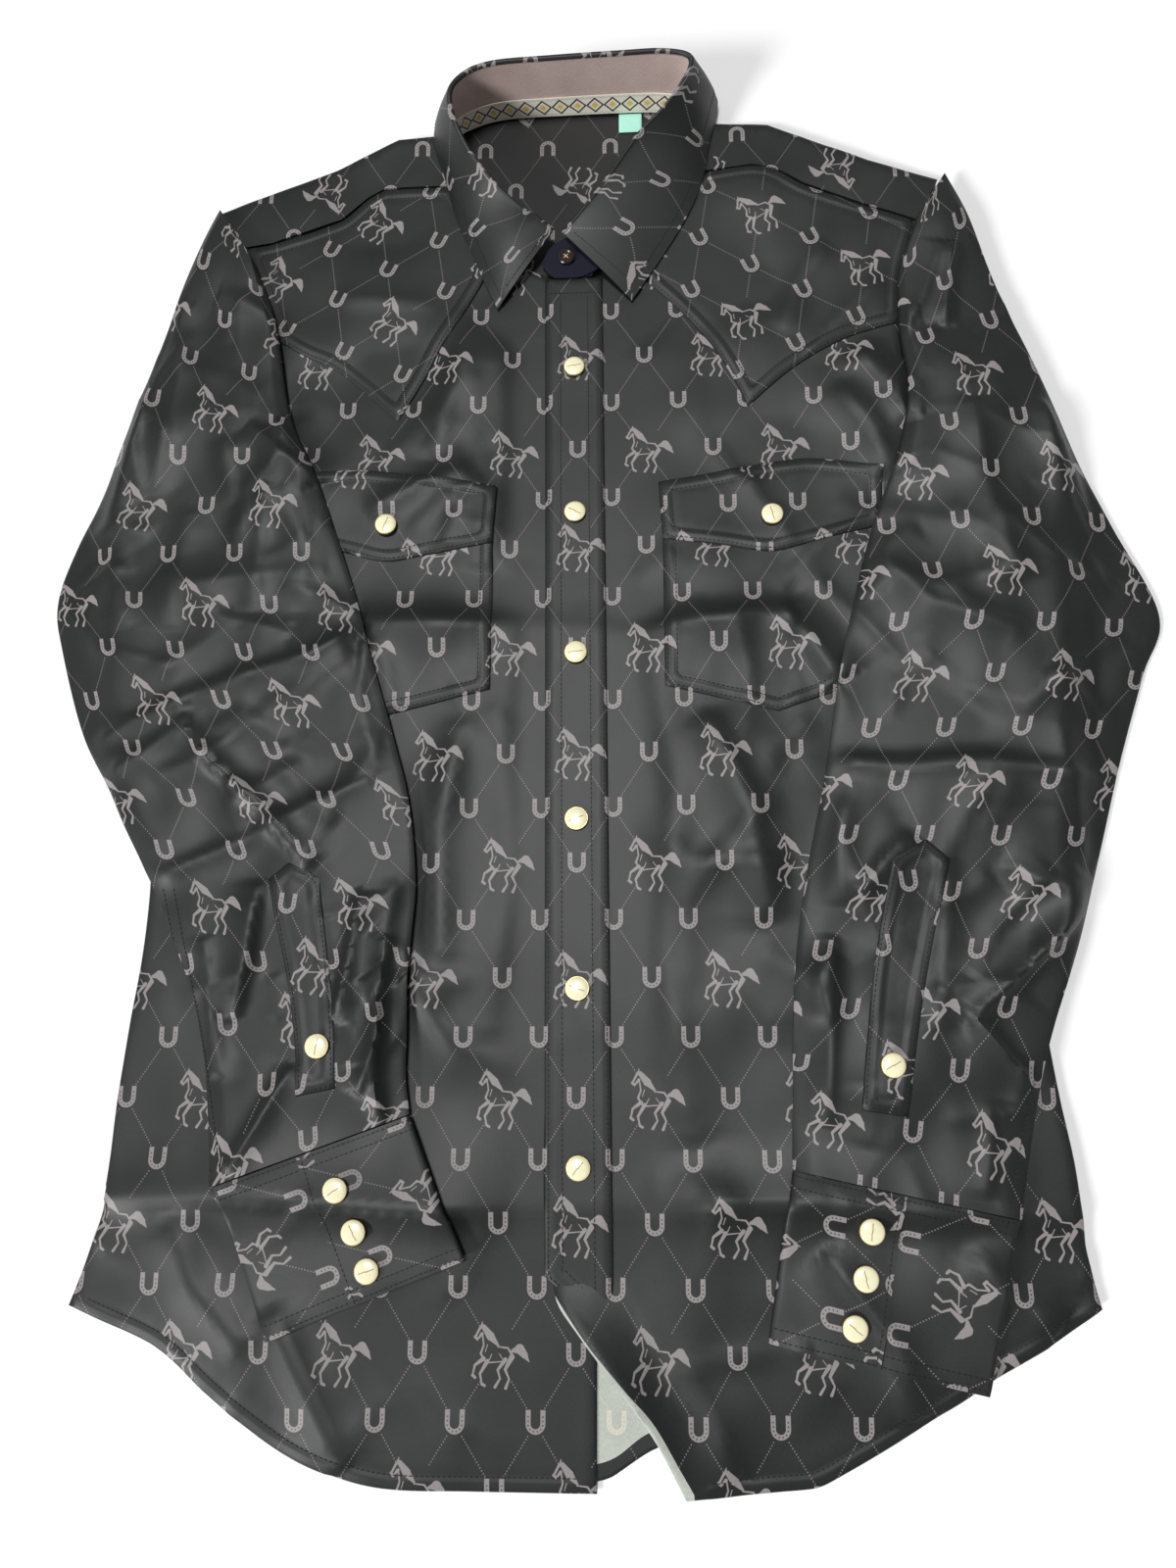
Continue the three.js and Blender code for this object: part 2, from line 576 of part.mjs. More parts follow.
/** The sleeve as a flattened tube, open at the armhole and at the cuff. */
function sleeve(side) {
  const set = SLEEVE_SETS[side];
  const count = set.stations.length;
  const top = sleeveTop(set);
  const rings = set.sections.map((section, row) => {
    const width = Math.hypot(section.inX - section.outX, section.inY - section.outY);
    const inset = CLOTH / width;
    const outerLow = set.stations.map((share) => sleevePoint(set, section, share, () => 0));
    const innerShares = set.stations.map((share) => THREE.MathUtils.clamp(share, inset, 1 - inset));
    const innerLow = innerShares.map((share) => sleevePoint(set, section, share, () => CLOTH));
    const innerHigh = innerShares.map((share) =>
      sleevePoint(set, section, share, (x, y) => sleeveDepth(set, section, share, x, y) - CLOTH));
    return { outer: [...outerLow, ...reversed(top[row])], inner: [...innerLow, ...reversed(innerHigh)] };
  });
  return piece(`sleeve_${side}`, tubeWall(rings, 2 * count), PRINT_COLOUR);
}

/** The wall between an outer and an inner loop, carried through all the rings, with open ends. */
function tubeWall(rings, count) {
  const places = [];
  for (const { outer, inner } of rings) {
    for (const p of [...outer, ...inner]) places.push(p.x, p.y, p.z);
  }
  const at = (ring, loop, j) => ring * 2 * count + loop * count + (j % count);
  const index = [];
  const quad = (a, b, c, d) => index.push(a, b, c, a, c, d);
  for (let i = 0; i < rings.length - 1; i++) {
    for (let j = 0; j < count; j++) {
      quad(at(i, 0, j), at(i, 0, j + 1), at(i + 1, 0, j + 1), at(i + 1, 0, j));
      quad(at(i, 1, j), at(i + 1, 1, j), at(i + 1, 1, j + 1), at(i, 1, j + 1));
    }
  }
  const end = rings.length - 1;
  for (let j = 0; j < count; j++) {
    quad(at(0, 0, j), at(0, 1, j), at(0, 1, j + 1), at(0, 0, j + 1));
    quad(at(end, 0, j), at(end, 0, j + 1), at(end, 1, j + 1), at(end, 1, j));
  }
  return facingOut(places, index);
}

/** The pointed facing over the sleeve's slit, made from the sleeve's own upper points. */
function slitFacing(side) {
  const set = SLEEVE_SETS[side];
  const top = sleeveTop(set);
  const { from, to, firstRow } = set.slit;
  const grid = top.slice(firstRow, -1).map((row) => row.slice(from, to + 1));
  const tip = grid[0].map((p, j) => {
    const above = top[firstRow - 1][from + 1];
    const narrow = grid[0][1];
    return p.clone().lerp(narrow, 0.8).lerp(above, j === 1 ? 0.2 : 0.17);
  });
  const rows = [tip, ...grid];
  const under = rows.map((row) => row.map((p) => p.clone().setZ(p.z + GAP)));
  const over = under.map((row) => row.map((p) => p.clone().setZ(p.z + CLOTH)));
  return piece(`slit_facing_${side}`, wallBetween(under, over), PRINT_COLOUR);
}

// ================================================================ cuffs

/** A cuff closed on itself: one band that runs under its own lap, flattened. */
function cuff(side) {
  const { cuff: c, base } = SLEEVE_SETS[side];
  const half = CLOTH / 2;
  const level = (ply) => base + half + ply * PLY;
  const rings = [];
  for (let row = 0; row <= CUFF_ROWS; row++) {
    const share = row / CUFF_ROWS;
    const under = new THREE.Vector2(...c.nearUnder).lerp(new THREE.Vector2(...c.farUnder), share);
    const over = new THREE.Vector2(...c.nearOver).lerp(new THREE.Vector2(...c.farOver), share);
    const width = under.distanceTo(over);
    const line = [
      [(c.lap + CUFF_UNDERLAP) * width, level(1)], [half, level(1)], [half, level(0)],
      [width - half, level(0)], [width - half, level(2)], [c.lap * width, level(2)],
    ];
    rings.push(thickened(line, half).map(([d, z]) => {
      const p = under.clone().lerp(over, d / width);
      return new THREE.Vector3(p.x, p.y, z);
    }));
  }
  const count = rings[0].length;
  const cap = [];
  for (let j = 0; j < count / 2 - 1; j++) {
    cap.push([j, j + 1, count - 2 - j], [j, count - 2 - j, count - 1 - j]);
  }
  return piece(`cuff_${side}`, loftRings(rings, cap), PRINT_COLOUR);
}

/** The closed outline of a line in [distance, height] pairs, given a wall, with mitred corners. */
function thickened(line, half) {
  const sides = [[], []];
  line.forEach((p, i) => {
    const before = line[Math.max(0, i - 1)];
    const after = line[Math.min(line.length - 1, i + 1)];
    const a = i === 0 ? unit(p, after) : unit(before, p);
    const b = i === line.length - 1 ? unit(before, p) : unit(p, after);
    const [nx, ny] = [-(a[1] + b[1]), a[0] + b[0]];
    const scale = half / Math.hypot(nx, ny) / Math.sqrt((1 + a[0] * b[0] + a[1] * b[1]) / 2);
    sides[0].push([p[0] + scale * nx, p[1] + scale * ny]);
    sides[1].push([p[0] - scale * nx, p[1] - scale * ny]);
  });
  return [...sides[0], ...reversed(sides[1])];
}

function unit([x1, y1], [x2, y2]) {
  const length = Math.hypot(x2 - x1, y2 - y1);
  return [(x2 - x1) / length, (y2 - y1) / length];
}

// ================================================================ collar

const collarCurve = (column) =>
  new THREE.CatmullRomCurve3(COLLAR.map((row) => new THREE.Vector3(...row.slice(column, column + 3))));
const NECK_CURVE = collarCurve(0);
const FOLD_CURVE = collarCurve(3);
const EDGE_CURVE = collarCurve(6);

/** Shares of the way round the collar, evenly between two ends. */
function shares({ from = 0, to = 1 } = {}) {
  const steps = Math.round(COLLAR_STEPS * (to - from));
  return Array.from({ length: steps + 1 }, (_, i) => lerp(from, to, i / steps));
}

/** One section of the standing band: its foot, its top and the way out of the neck. */
function standSection(share) {
  const foot = NECK_CURVE.getPoint(share);
  const top = FOLD_CURVE.getPoint(share);
  const step = 0.01;
  const ahead = NECK_CURVE.getPoint(Math.min(1, share + step));
  const behind = NECK_CURVE.getPoint(Math.max(0, share - step));
  const out = top.clone().sub(foot).cross(ahead.sub(behind)).normalize();
  return { foot, top, out };
}

/** A layer of the standing band, from height share v0 to v1, whose middle lies "offset" outside it. */
function standLayer(reach, offset, wall, heightRange) {
  const sheet = (side) => shares(reach).map((share) => {
    const { foot, top, out } = standSection(share);
    const [v0, v1] = heightRange(foot.distanceTo(top));
    return [0, 1 / 3, 2 / 3, 1].map((k) => {
      const p = foot.clone().lerp(top, lerp(v0, v1, k));
      return p.addScaledVector(out, offset + side * wall / 2);
    });
  });
  return wallBetween(sheet(-1), sheet(1));
}

const BELOW_FOLD = 1.4; // the band's layers stop this far under the fold of the leaf
const toTheFold = (length) => [0, 1 - BELOW_FOLD / length];

function collarStand() {
  return piece("collar_stand", standLayer(STAND_REACH, 0, CLOTH, toTheFold), PRINT_COLOUR);
}

function standLining() {
  const offset = -(CLOTH / 2 + GAP + LINING_WALL / 2);
  return piece("stand_lining", standLayer(STAND_REACH, offset, LINING_WALL, toTheFold), TAUPE);
}

function neckBraid() {
  const offset = -(CLOTH / 2 + GAP + LINING_WALL + GAP + BRAID_WALL / 2);
  const low = (length) => [0.5 / length, BRAID_WIDTH / length];
  return piece("neck_braid", standLayer(BRAID_REACH, offset, BRAID_WALL, low), BRAID);
}

/** The leaf of the collar: over the top of the band, and down outside it to its edge. */
function collarLeaf() {
  const half = CLOTH / 2;
  const lip = 2.4; // the fold covers the band's layers
  const sheets = [[], []];
  for (const share of shares()) {
    const fold = FOLD_CURVE.getPoint(share);
    const edge = EDGE_CURVE.getPoint(share);
    const out = edge.clone().sub(fold).setZ(0).normalize();
    const line = [[-lip, half + GAP], [1.6, half + GAP]];
    const reach = Math.hypot(edge.x - fold.x, edge.y - fold.y);
    const drop = edge.z - fold.z;
    for (const k of [0.3, 0.65, 1]) {
      const belly = 2.2 * Math.sin(Math.PI * k);
      line.push([lerp(2.4, reach, k) + belly, lerp(0.2, drop, k) + belly]);
    }
    const loop = thickened(line, half);
    const place = ([d, z]) => fold.clone().addScaledVector(out, d).add(new THREE.Vector3(0, 0, z));
    sheets[0].push(loop.slice(0, line.length).map(place));
    sheets[1].push(reversed(loop.slice(line.length)).map(place));
  }
  return piece("collar_leaf", wallBetween(sheets[1], sheets[0]), PRINT_COLOUR);
}

/** The navy ends of the band, lapped at the front under the button. */
function standEnd(side) {
  const left = side === "left";
  const pairs = left
    ? [[-22, 664], [-18, 657], [-4, 654.5], [8, 654.8], [13, 664], [12, 673], [2, 679], [-11, 679], [-18, 674]]
    : [[17, 668], [13, 659], [2, 653.6], [-14, 653.2], [-19, 658], [-20, 667], [-15, 676], [-6, 681], [6, 682]];
  const wall = 1;
  const z = left ? 4.8 : 4.8 + wall + GAP;
  return piece(`stand_end_${side}`, flatPanel(pairs, z, wall), NAVY);
}

function sizeTag() {
  const [w, l] = [TAG.width / 2, TAG.length / 2];
  const pairs = [[-w, -l], [w, -l], [w, l], [-w, l]].map(([dx, dy]) => [TAG.x + dx, TAG.y + dy - 1.5]);
  return piece("size_tag", flatPanel(pairs, BACK_Z + PLY, TAG.wall), TAG_COLOUR);
}

// ================================================================ fastenings

/** A pearl snap: a metal rim with a low dome inside it. */
function snap(name, x, y, z) {
  const { radius, height, rim } = SNAP;
  const profile = [
    [0, 0], [radius - rim, 0], [radius, 0.5 * height], [radius - 0.4, 0.8 * height],
    [radius - rim, 0.84 * height], [0.5 * radius, 0.96 * height], [0, height],
  ];
  const geometry = new THREE.LatheGeometry(profile.map(([r, h]) => new THREE.Vector2(r, h)), 18);
  return piece(name, geometry.rotateX(Math.PI / 2).translate(x, y, z + GAP), PEARL, 0.25);
}

function frontSnaps() {
  const z = OVER_FRONT_Z + PLY + CLOTH;
  return SNAP_HEIGHTS.map((y, i) => snap(`snap_front_${i + 1}`, placketCentre(y), y, z));
}

function flapSnaps() {
  const y = FLAP.neckSide - 26;
  return [
    snap("snap_flap_left", -POCKET.x, y, UNDER_FRONT_Z + 2 * PLY + CLOTH),
    snap("snap_flap_right", POCKET.x, y, OVER_FRONT_Z + 2 * PLY + CLOTH),
  ];
}

/** The snaps of one sleeve: three on the cuff and one on the slit facing. */
function sleeveSnaps(side) {
  const { cuff: c, base, slit } = SLEEVE_SETS[side];
  const cuffTop = base + 2 * PLY + CLOTH;
  const made = c.snaps.map(([x, y], i) => snap(`snap_cuff_${side}_${i + 1}`, x, y, cuffTop));
  const [x, y] = slit.snap;
  made.push(snap(`snap_slit_${side}`, x, y, facingTop(side, x, y)));
  return made;
}

/** The highest point of the slit facing under a snap at x, y. */
function facingTop(side, x, y) {
  const near = sleeveTop(SLEEVE_SETS[side]).flat()
    .filter((p) => Math.hypot(p.x - x, p.y - y) < 4 * SNAP.radius);
  return Math.max(...near.map((p) => p.z)) + GAP + CLOTH;
}

/** The four-hole button of the collar band. */
function collarButton() {
  const { radius, height, holeRadius, holeOffset } = BUTTON;
  const profile = [[0, 0], [radius - 0.8, 0], [radius, 0.6], [radius, height - 0.5], [radius - 0.5, height],
    [radius - 1.3, height], [radius - 1.8, height - 0.5], [0, height - 0.5]];
  const disc = new THREE.LatheGeometry(profile.map(([r, h]) => new THREE.Vector2(r, h)), 20);
  let solid = toManifold(disc.rotateX(Math.PI / 2));
  for (const [sx, sy] of [[-1, -1], [-1, 1], [1, -1], [1, 1]]) {
    const hole = new THREE.CylinderGeometry(holeRadius, holeRadius, 3 * height, 8).rotateX(Math.PI / 2);
    hole.translate((sx * holeOffset) / 1.4, (sy * holeOffset) / 1.4, 0);
    solid = solid.subtract(toManifold(hole));
  }
  const geometry = fromManifold(solid).translate(-7, 666, 4.8 + 2 * (1 + GAP));
  return piece("collar_button", geometry, BUTTON_COLOUR, 0.35);
}

// ================================================================ the shirt

const shirt = new THREE.Group();
shirt.add(back(), underFront(), overFront(), frontPlacket(), backYoke());
shirt.add(collarStand(), standLining(), neckBraid(), collarLeaf(), sizeTag(), collarButton());
for (const side of ["left", "right"]) {
  shirt.add(frontYoke(side), pocket(side), flap(side), standEnd(side));
  shirt.add(sleeve(side), slitFacing(side), cuff(side), ...sleeveSnaps(side));
}
shirt.add(...frontSnaps(), ...flapSnaps());

// The origin goes to the middle of the shirt's outline, on the table.
const box = new THREE.Box3().setFromObject(shirt);
const middle = box.getCenter(new THREE.Vector3());
shirt.position.set(-middle.x, -middle.y, -box.min.z);

export default shirt;
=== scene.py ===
"""A snap-front shirt laid flat on its back, the sleeves brought down over the front.

Lengths inside the script are millimetres measured from the centre front at the hem; add_mesh
turns them into the frame's metres.
"""

import math

import bpy
import numpy as np
from bpy.props import FloatProperty, FloatVectorProperty, PointerProperty
from mathutils import Matrix, Vector, geometry
from mathutils.bvhtree import BVHTree


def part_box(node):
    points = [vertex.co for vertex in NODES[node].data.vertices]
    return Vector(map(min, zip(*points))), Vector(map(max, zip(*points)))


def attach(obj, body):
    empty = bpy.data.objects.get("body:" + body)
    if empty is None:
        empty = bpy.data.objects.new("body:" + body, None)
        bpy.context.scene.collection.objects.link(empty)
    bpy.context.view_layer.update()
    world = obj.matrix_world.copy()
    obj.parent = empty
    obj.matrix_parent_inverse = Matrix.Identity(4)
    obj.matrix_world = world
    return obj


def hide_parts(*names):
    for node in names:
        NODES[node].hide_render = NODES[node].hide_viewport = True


bl_info = {
    "name": "Snap-front shirt",
    "version": (1, 0, 0),
    "blender": (4, 5, 0),
    "location": "View3D > Sidebar > Shirt",
    "description": "Builds a printed snap-front shirt, laid flat",
    "category": "Add Mesh",
}

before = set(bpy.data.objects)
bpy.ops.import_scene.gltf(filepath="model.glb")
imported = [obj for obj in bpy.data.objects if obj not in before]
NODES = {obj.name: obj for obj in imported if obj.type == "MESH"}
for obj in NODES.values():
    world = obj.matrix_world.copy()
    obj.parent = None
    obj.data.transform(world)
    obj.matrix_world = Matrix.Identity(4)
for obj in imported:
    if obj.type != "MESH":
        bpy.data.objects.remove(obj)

MM = 0.001
CENTRE_FRONT = np.array([8.0, 397.6])  # where the frame's origin lies on the shirt
SIDES = ("left", "right")
UNDER_TOP = 2.7  # upper face of the under front
FACING_UP = 0.5  # a face whose normal has a larger z than this looks up
HEM_DEPTH = 7.5  # how far the back's hem is turned up
HEM_TOP = 84  # the height at which the curved hem meets the side
FIRST_ROW, SECOND_ROW = 1.8, 7.0  # rows of stitches, in from an edge
SEAM_GROOVE, PLACKET_ROW = 6.6, 9.0  # where the second row draws the cloth in
THREAD_RADIUS = 0.26

# ------------------------------------------------------------------ tables, in millimetres
# Creases of the body and what lies on it: height, half widths to the left and right of the way the
# line runs, and the line.
BODY_CREASES = [
    (2.8, 7, 22, [(-119, 437), (-60, 436), (-18, 435), (30, 428), (75, 435), (118, 440)]),
    (1.8, 12, 7, [(112, 440), (128, 420), (142, 397)]),
    (2.6, 20, 7, [(-240, 131), (-184, 133), (-62, 126), (30, 128), (114, 131), (215, 126),
                  (246, 124)]),
    (2.2, 9, 13, [(-40, 640), (-46, 600), (-44, 540), (-50, 470)]),
    (1.6, 12, 9, [(-58, 640), (-74, 585), (-84, 540)]),
    (1.6, 11, 9, [(26, 640), (31, 590), (28, 520), (35, 460)]),
    (1.6, 7, 12, [(-118, 505), (-88, 522), (-60, 530)]),
    (1.7, 11, 11, [(-30, 470), (-40, 380), (-34, 300), (-46, 210)]),
    (1.6, 13, 9, [(40, 420), (52, 340), (44, 250), (56, 160)]),
    (1.8, 9, 14, [(70, 380), (92, 330), (100, 270)]),
    (1.6, 13, 8, [(-62, 380), (-75, 320), (-72, 250)]),
    (1.6, 9, 9, [(160, 600), (180, 575), (188, 550)]),
    (1.4, 9, 9, [(150, 575), (168, 548), (176, 520)]),
    (1.6, 11, 8, [(-175, 560), (-160, 538), (-150, 520)]),
    (1.8, 12, 8, [(24, 92), (48, 62), (66, 30), (74, 8)]),
    (1.6, 12, 9, [(120, 110), (150, 70), (160, 35)]),
    (1.6, 9, 12, [(-150, 80), (-130, 45), (-110, 10)]),
    (1.5, 14, 9, [(-90, 240), (-60, 205), (-20, 190)]),
    (1.4, 9, 14, [(20, 330), (60, 300), (110, 300)]),
    (1.5, 9, 13, [(-205, 120), (-190, 90), (-160, 60)]),
    (1.5, 13, 9, [(190, 110), (205, 90), (230, 75)]),
]
LEFT_SLEEVE_CREASES = [
    (1.7, 4, 8, [(-273, 369), (-229, 387), (-191, 403), (-147, 416), (-118, 434)]),
    (1.2, 4, 8, [(-227, 292), (-177, 314), (-142, 333), (-111, 346)]),
    (2.6, 9, 3, [(-218, 382), (-205, 363), (-163, 323), (-140, 297)]),
    (1.8, 3, 8, [(-167, 290), (-171, 255), (-176, 220)]),
    (2.0, 8, 3, [(-113, 285), (-119, 243), (-124, 219)]),
    (1.6, 3, 7, [(-107, 242), (-101, 229), (-101, 209), (-110, 182)]),
    (2.0, 3, 6, [(-98, 262), (-101, 209), (-102, 190), (-97, 166)]),
    (1.6, 8, 4, [(-145, 196), (-160, 168), (-173, 145)]),
    (1.7, 4, 10, [(-190, 557), (-170, 538), (-149, 524)]),
    (1.1, 8, 12, [(-240, 640), (-236, 590), (-244, 520)]),
    (1.0, 12, 8, [(-258, 600), (-262, 540), (-274, 480)]),
    (1.0, 7, 12, [(-232, 470), (-200, 440), (-160, 430)]),
    (1.2, 5, 9, [(-262, 350), (-240, 360), (-214, 380)]),
    (1.2, 8, 4, [(-196, 262), (-190, 230), (-186, 190)]),
]
RIGHT_SLEEVE_CREASES = [
    (1.6, 4, 8, [(129, 354), (170, 350), (212, 352), (285, 340)]),
    (1.5, 8, 4, [(172, 312), (158, 298), (145, 284)]),
    (2.8, 3, 10, [(265, 291), (256, 272), (228, 246), (198, 219)]),
    (2.0, 3, 8, [(198, 219), (212, 202), (228, 184)]),
    (1.6, 4, 8, [(219, 662), (216, 644), (211, 609)]),
    (1.1, 8, 12, [(222, 560), (228, 500), (240, 450)]),
    (1.1, 10, 8, [(262, 560), (270, 500), (292, 452)]),
    (1.0, 8, 10, [(165, 470), (190, 440), (240, 420)]),
    (1.1, 5, 10, [(250, 400), (276, 380), (296, 372)]),
    (1.2, 4, 8, [(130, 260), (128, 220), (124, 170)]),
    (1.0, 8, 6, [(190, 300), (186, 260), (180, 215)]),
    (0.9, 6, 9, [(204, 180), (200, 150), (196, 135)]),
]
# Long soft waves: length, bearing in degrees, phase, height.
SWELLS = [
    (170, 20, 0.3, 0.35), (120, 75, 1.9, 0.30), (88, 128, 4.1, 0.22), (64, 45, 2.2, 0.13),
    (47, 100, 5.0, 0.09), (31, 160, 0.9, 0.05), (24, 10, 3.3, 0.035),
]
# Sleeve sections: the outer edge x, y, the inner edge x, y and how far the top stands off.
LEFT_SLEEVE = [
    (-221, 708, -196, 668, 1.0), (-240, 652, -181, 628, 2.0), (-256, 594, -169, 568, 2.6),
    (-274, 534, -151, 528, 2.8), (-292, 488, -136, 486, 3.0), (-300, 454, -122, 444, 3.0),
    (-294, 424, -113, 414, 2.8), (-276, 373, -99, 367, 2.8), (-254, 338, -90, 333, 2.8),
    (-228, 292, -85, 292, 2.6), (-214, 262, -86, 264, 2.6), (-201, 233, -87, 238, 2.4),
    (-192, 200, -87, 212, 2.2), (-187, 172, -87, 192, 2.0), (-182.2, 137.6, -84.4, 172.6, 1.6),
]
RIGHT_SLEEVE = [
    (219, 713, 198, 676, 1.0), (230, 682, 188, 648, 1.6), (243, 634, 186, 612, 2.2),
    (260, 584, 188, 572, 2.6), (277, 537, 180, 531, 2.8), (296, 487, 163, 484, 3.0),
    (316, 434, 150, 437, 3.0), (304, 400, 142, 404, 2.8), (287, 352, 133, 353, 2.8),
    (270, 298, 121, 300, 2.6), (259, 268, 115, 268, 2.6), (248, 240, 111, 238, 2.4),
    (234, 204, 109, 206, 2.2), (223, 164, 108, 180, 2.0), (213.2, 125.6, 106.2, 147.6, 1.6),
]
# Where the body's side lies under the sleeves.
LEFT_SIDE = [
    (80, -254), (125, -241), (216, -235), (310, -231), (390, -241), (446, -250), (800, -250),
]
RIGHT_SIDE = [
    (84, 251), (148, 244), (220, 236), (300, 236), (390, 243), (446, 250), (800, 250),
]
# Cuff corners: by the sleeve and by the hand, under fold then over fold.
LEFT_CUFF = ((-182, 137), (-84, 172), (-151, 66), (-54, 104))
RIGHT_CUFF = ((213, 125), (106, 147), (194, 47), (92, 69))
CUFF_LAP = {"left": 0.43, "right": 0.5}
CUFF_DEPTH, CUFF_WALL, CUFF_STEPS = 75.0, 0.9, 22
SLEEVE_SEAMS = {"left": ((-220, 288), (-183, 146)), "right": ((236, 204), (214, 132))}
# Collar sections: neck seam x, y, z; fold x, y, z; outer edge of the leaf x, y, z.
COLLAR = [
    (-24, 660, 6.6, -15, 681, 12, -48, 634, 5.6), (-40, 674, 6.6, -24, 686, 17, -56, 652, 5.6),
    (-56, 692, 6.6, -35, 691, 22, -65, 675, 5.6), (-70, 713, 6.6, -53, 707, 29, -75, 700, 5.6),
    (-77, 735, 6.6, -68, 729, 35, -82, 727, 5.6), (-77, 755, 6.6, -75, 753, 40, -90, 756, 5.6),
    (-66, 767, 3.0, -68, 768, 40, -82, 779, 3.0), (-45, 773, 2.4, -50, 776, 40, -56, 790, 2.4),
    (-10, 774, 2.4, -14, 778, 40, -14, 794, 2.2), (25, 774, 2.4, 26, 779, 40, 28, 794, 2.2),
    (50, 773, 2.4, 54, 779, 40, 60, 790, 2.4), (67, 768, 3.6, 69, 773, 40, 84, 780, 4.2),
    (76, 756, 6.8, 64, 760, 36, 84, 762, 7.0), (75, 742, 6.8, 53, 748, 30, 80, 741, 7.0),
    (68, 722, 6.8, 38, 735, 25, 76, 720, 7.0), (54, 698, 6.8, 20, 711, 20, 67, 695, 7.0),
    (36, 678, 6.8, 5, 693, 16, 51, 666, 7.0), (20, 668, 6.8, -8, 679, 12, 32, 636, 7.0),
]
# The edge of the over front below the placket, where its corner is turned up.
TURNED_EDGE = [(52, 0), (46, 12), (35, 32), (23, 46), (13, 58), (1, 72), (-16, 94)]
BACK_HEM = [
    (-251, 83), (-197, 57), (-120, 10), (-60, 4), (10, 5), (39, 20), (62, 24), (100, 14), (248, 86),
]

# A horse at a canter, as strokes: from x, y to x, y, half width at each end. Millimetres.
HORSE = [
    (-6.4, 12.6, -3.0, 8.4, 1.1, 2.0), (-3.0, 8.4, 0.8, 4.4, 1.9, 0.5),
    (-7.6, 12.4, -7.0, 14.8, 0.7, 0.2), (-8.0, 12.4, -10.4, 8.0, 0.6, 0.5),
    (-10.4, 8.0, -9.4, 6.8, 0.8, 0.5), (-9.4, 6.8, -7.2, 9.4, 0.35, 0.8),
    (-6.9, 9.0, -6.2, 4.4, 0.35, 0.4), (-6.2, 4.4, -7.6, 0.6, 0.4, 0.55),
    (-7.6, 0.6, -5.4, -2.8, 0.55, 0.35), (-4.4, 4.6, -5.4, 1.4, 0.25, 0.2),
    (0.6, 3.8, 5.6, 3.2, 0.3, 0.45), (5.6, 3.2, 8.4, -0.8, 0.45, 0.6),
    (-3.8, -3.4, 3.2, -2.8, 0.35, 0.25), (1.4, 0.6, 3.2, -1.8, 0.2, 0.2),
    (-2.2, 0.4, -3.4, -2.2, 0.2, 0.3), (8.0, 2.0, 11.4, 2.8, 0.8, 2.3),
    (11.4, 2.8, 13.8, 0.2, 2.3, 1.6), (13.8, 0.2, 16.0, -2.8, 1.5, 0.2),
    (-6.2, -1.6, -10.4, -4.6, 1.0, 0.6), (-10.4, -4.6, -11.4, -9.0, 0.55, 0.4),
    (-11.4, -9.0, -10.2, -10.0, 0.7, 0.7), (-4.4, -2.8, -7.8, -8.4, 1.0, 0.6),
    (-7.8, -8.4, -6.8, -12.8, 0.55, 0.4), (-6.8, -12.8, -5.5, -13.6, 0.7, 0.65),
    (7.6, -0.8, 4.4, -6.4, 1.3, 0.7), (4.4, -6.4, 6.4, -10.6, 0.65, 0.4),
    (6.4, -10.6, 4.8, -14.6, 0.45, 0.75), (4.4, -2.0, 0.8, -6.6, 1.0, 0.6),
    (0.8, -6.6, 2.0, -10.4, 0.55, 0.4), (2.0, -10.4, -0.4, -14.2, 0.45, 0.7),
]


# ------------------------------------------------------------------ sizes and colours
def length(name, default_mm, words):
    """A length that a user can change, in metres."""
    return FloatProperty(
        name=name, description=words, default=default_mm * MM, min=0.0, unit="LENGTH",
    )


def strength(name, default, words):
    """A lamp's strength that a user can change."""
    return FloatProperty(name=name, description=words, default=default, min=0.0)


def colour(name, default, words):
    """A colour that a user can change."""
    return FloatVectorProperty(
        name=name, description=words, default=default, size=3, min=0.0, max=1.0, subtype="COLOR",
    )


class ShirtClothSettings(bpy.types.PropertyGroup):
    """The printed cloth."""

    thickness: length("Thickness", 0.6, "Thickness of one layer of the cloth")
    ground: colour("Ground", (0.0115, 0.0122, 0.0124), "Colour of the cloth's face")
    print_ink: colour("Print", (0.30, 0.272, 0.272), "Colour of the print")
    reverse: colour("Reverse", (0.50, 0.53, 0.48), "Colour of the cloth's unprinted back")
    repeat_across: length("Repeat across", 19.4, "Half the width of one diamond of the print")
    repeat_up: length("Repeat up", 30.0, "Half the height of one diamond of the print")


class ShirtTrimSettings(bpy.types.PropertyGroup):
    """Thread, snaps and collar trim."""

    thread: colour("Thread", (0.008, 0.008, 0.009), "Colour of the sewing thread")
    stitch: length("Stitch", 2.6, "Length of one stitch with the space after it")
    pearl: colour("Pearl", (0.92, 0.88, 0.60), "Colour of the snap caps")
    brass: colour("Brass", (0.55, 0.42, 0.20), "Colour of the snap rims")
    snap_radius: length("Snap radius", 6.25, "Outer radius of a snap")
    lining: colour("Lining", (0.55, 0.43, 0.40), "Colour of the collar band's lining")
    navy: colour("Navy", (0.009, 0.009, 0.020), "Colour of the collar band's ends")
    tag: colour("Tag", (0.42, 0.80, 0.66), "Colour of the size tag")


class ShirtStageSettings(bpy.types.PropertyGroup):
    """Floor and lamps."""

    floor: colour("Floor", (0.97, 0.97, 0.97), "Colour of the floor")
    key: strength("Key", 1.8, "Strength of the lamp overhead")
    side: strength("Side", 2.1, "Strength of the low lamp at the side")
    sky: strength("Sky", 0.20, "Strength of the light from all round")


